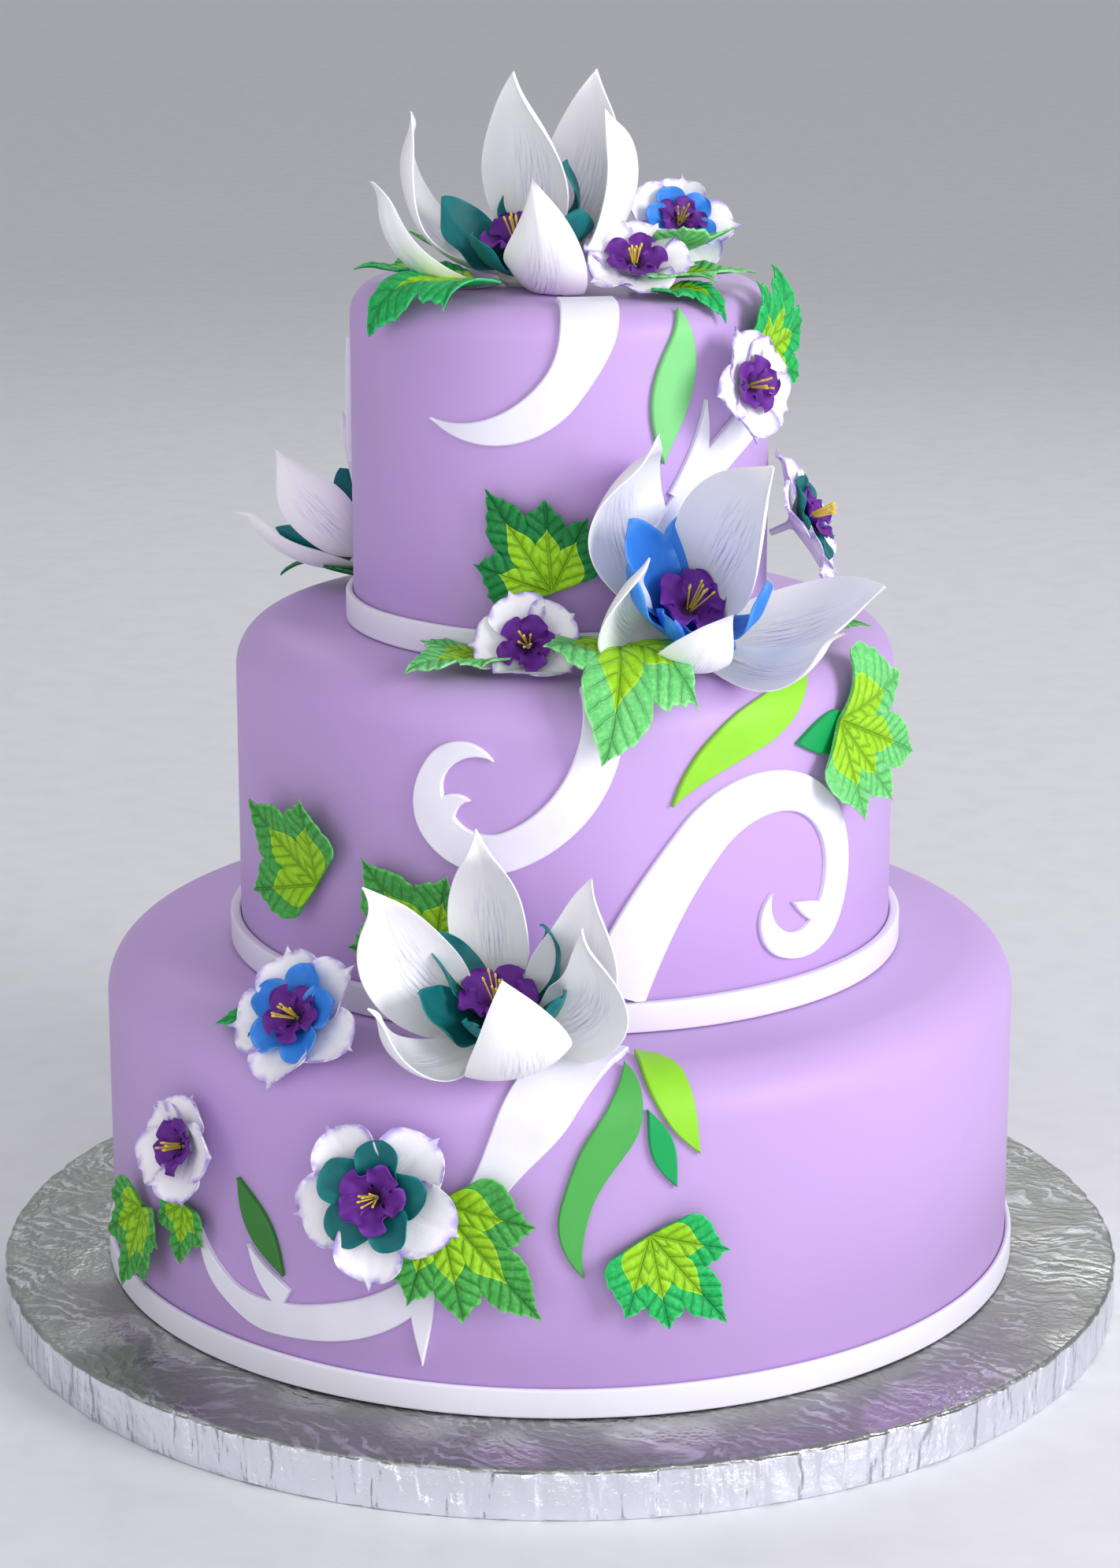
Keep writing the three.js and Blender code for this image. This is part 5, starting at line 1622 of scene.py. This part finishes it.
BLOSSOMS = (
    Blossom("blossom_top_blue", Size.BLUE, Stand("top", (98, 165, 18), 40, 15), 3, 22, 0.8, 21),
    Blossom("blossom_top_plain", Size.PLAIN, Stand("top", (39, 166, 8), 55, 5), 8, 6, seed=22),
    Blossom("blossom_top_side", Size.PLAIN, Stand("top", (48, 102, 10), 15), 6.5, 6, seed=23),
    Blossom("blossom_top_right", Size.TEAL, Stand("top", (80, 40, 10), 25), 5, 7, 0.9, 24),
    Blossom("blossom_ledge", Size.PLAIN, Stand("middle", (-8, 158, 9), 30), 6.5, 7, seed=25),
    Blossom("blossom_bottom_ledge", Size.BLUE, Stand("bottom", (-35, 142, 6), 35), 6, 6, seed=26),
    Blossom("blossom_bottom_left", Size.PLAIN, Stand("bottom", (-49, 84, 3), 15), 12.5, 3, seed=27),
    Blossom("blossom_bottom_front", Size.TEAL, Stand("bottom", (-20, 86, 7), 15), 6, 5, seed=28),
)


# ---------------------------------------------------------------- camera, light and floor


@dataclass
class Studio:
    """The camera, soft lights and pale floor."""

    camera_place: tuple[float, float, float] = (0.0, -1.5265, 0.6373)
    camera_pitch: float = 0.2705
    lens: float = 90.0

    def camera(self) -> None:
        """Sets the camera that looks slightly down on the cake's front."""
        data = bpy.data.cameras.new("camera")
        data.lens, data.sensor_width, data.sensor_fit = self.lens, 36.0, "AUTO"
        data.clip_start, data.clip_end = 0.05, 50
        camera = bpy.data.objects.new("camera", data)
        camera.location = self.camera_place
        camera.rotation_euler = (math.pi / 2 - self.camera_pitch, 0, 0)
        bpy.context.scene.collection.objects.link(camera)
        bpy.context.scene.camera = camera

    def light(self, name: str, place: Sequence[float], aim: Sequence[float], power: float,
              size: float) -> None:
        """Hangs one square soft light.

        Args:
            name: its name.
            place: where it hangs, in metres.
            aim: what it points at.
            power: its power in watts.
            size: its side in metres.
        """
        data = bpy.data.lights.new(name, "AREA")
        data.energy, data.size = power, size
        lamp = bpy.data.objects.new(name, data)
        lamp.location = place
        way = np.array(aim) - np.array(place)
        lamp.rotation_euler = (math.acos(-way[2] / np.linalg.norm(way)), 0,
                               math.atan2(way[0], -way[1]) + math.pi)
        bpy.context.scene.collection.objects.link(lamp)

    def build(self) -> None:
        """Sets up the whole studio."""
        self.camera()
        self.light("key", (1.8, -1.3, 1.0), (0, 0, 0.22), 40, 1.0)
        self.light("fill", (-1.7, -1.4, 0.9), (0, 0, 0.25), 6, 1.4)
        self.light("back", (0.3, 1.6, 1.6), (0, 0, 0.3), 8, 1.2)
        self.light("front", (0.2, -2.2, 0.9), (0, 0, 0.2), 11, 1.6)
        bpy.context.scene.view_settings.view_transform = "Standard"
        world = bpy.data.worlds.new("world")
        world.use_nodes = True
        world.node_tree.nodes["Background"].inputs[0].default_value = (0.86, 0.87, 0.9, 1)
        world.node_tree.nodes["Background"].inputs[1].default_value = 0.55
        bpy.context.scene.world = world
        shape = Shape()
        reach = FLOOR / 2
        shape.add(np.array([(-reach, -reach, 0), (reach, -reach, 0), (reach, reach, 0), (-reach, reach, 0)]),
                  [[0, 1, 2, 3]])
        floor = shape.build("floor", [Finish("floor_pale", (226, 226, 232), 0.5, 0.01)])


def main() -> None:
    """Builds the whole cake in order."""
    logging.basicConfig(level=logging.INFO, format="%(message)s")
    Studio().build()
    Drum().build()
    for tier in TIERS.values():
        tier.build()
    Bands().build()
    for piece in (*SCROLLS, *FLAT_LEAVES, *IVY, *FLOWERS, *BLOSSOMS):
        piece.build()
    STAMENS.build()


if __name__ == "__main__":
    main()
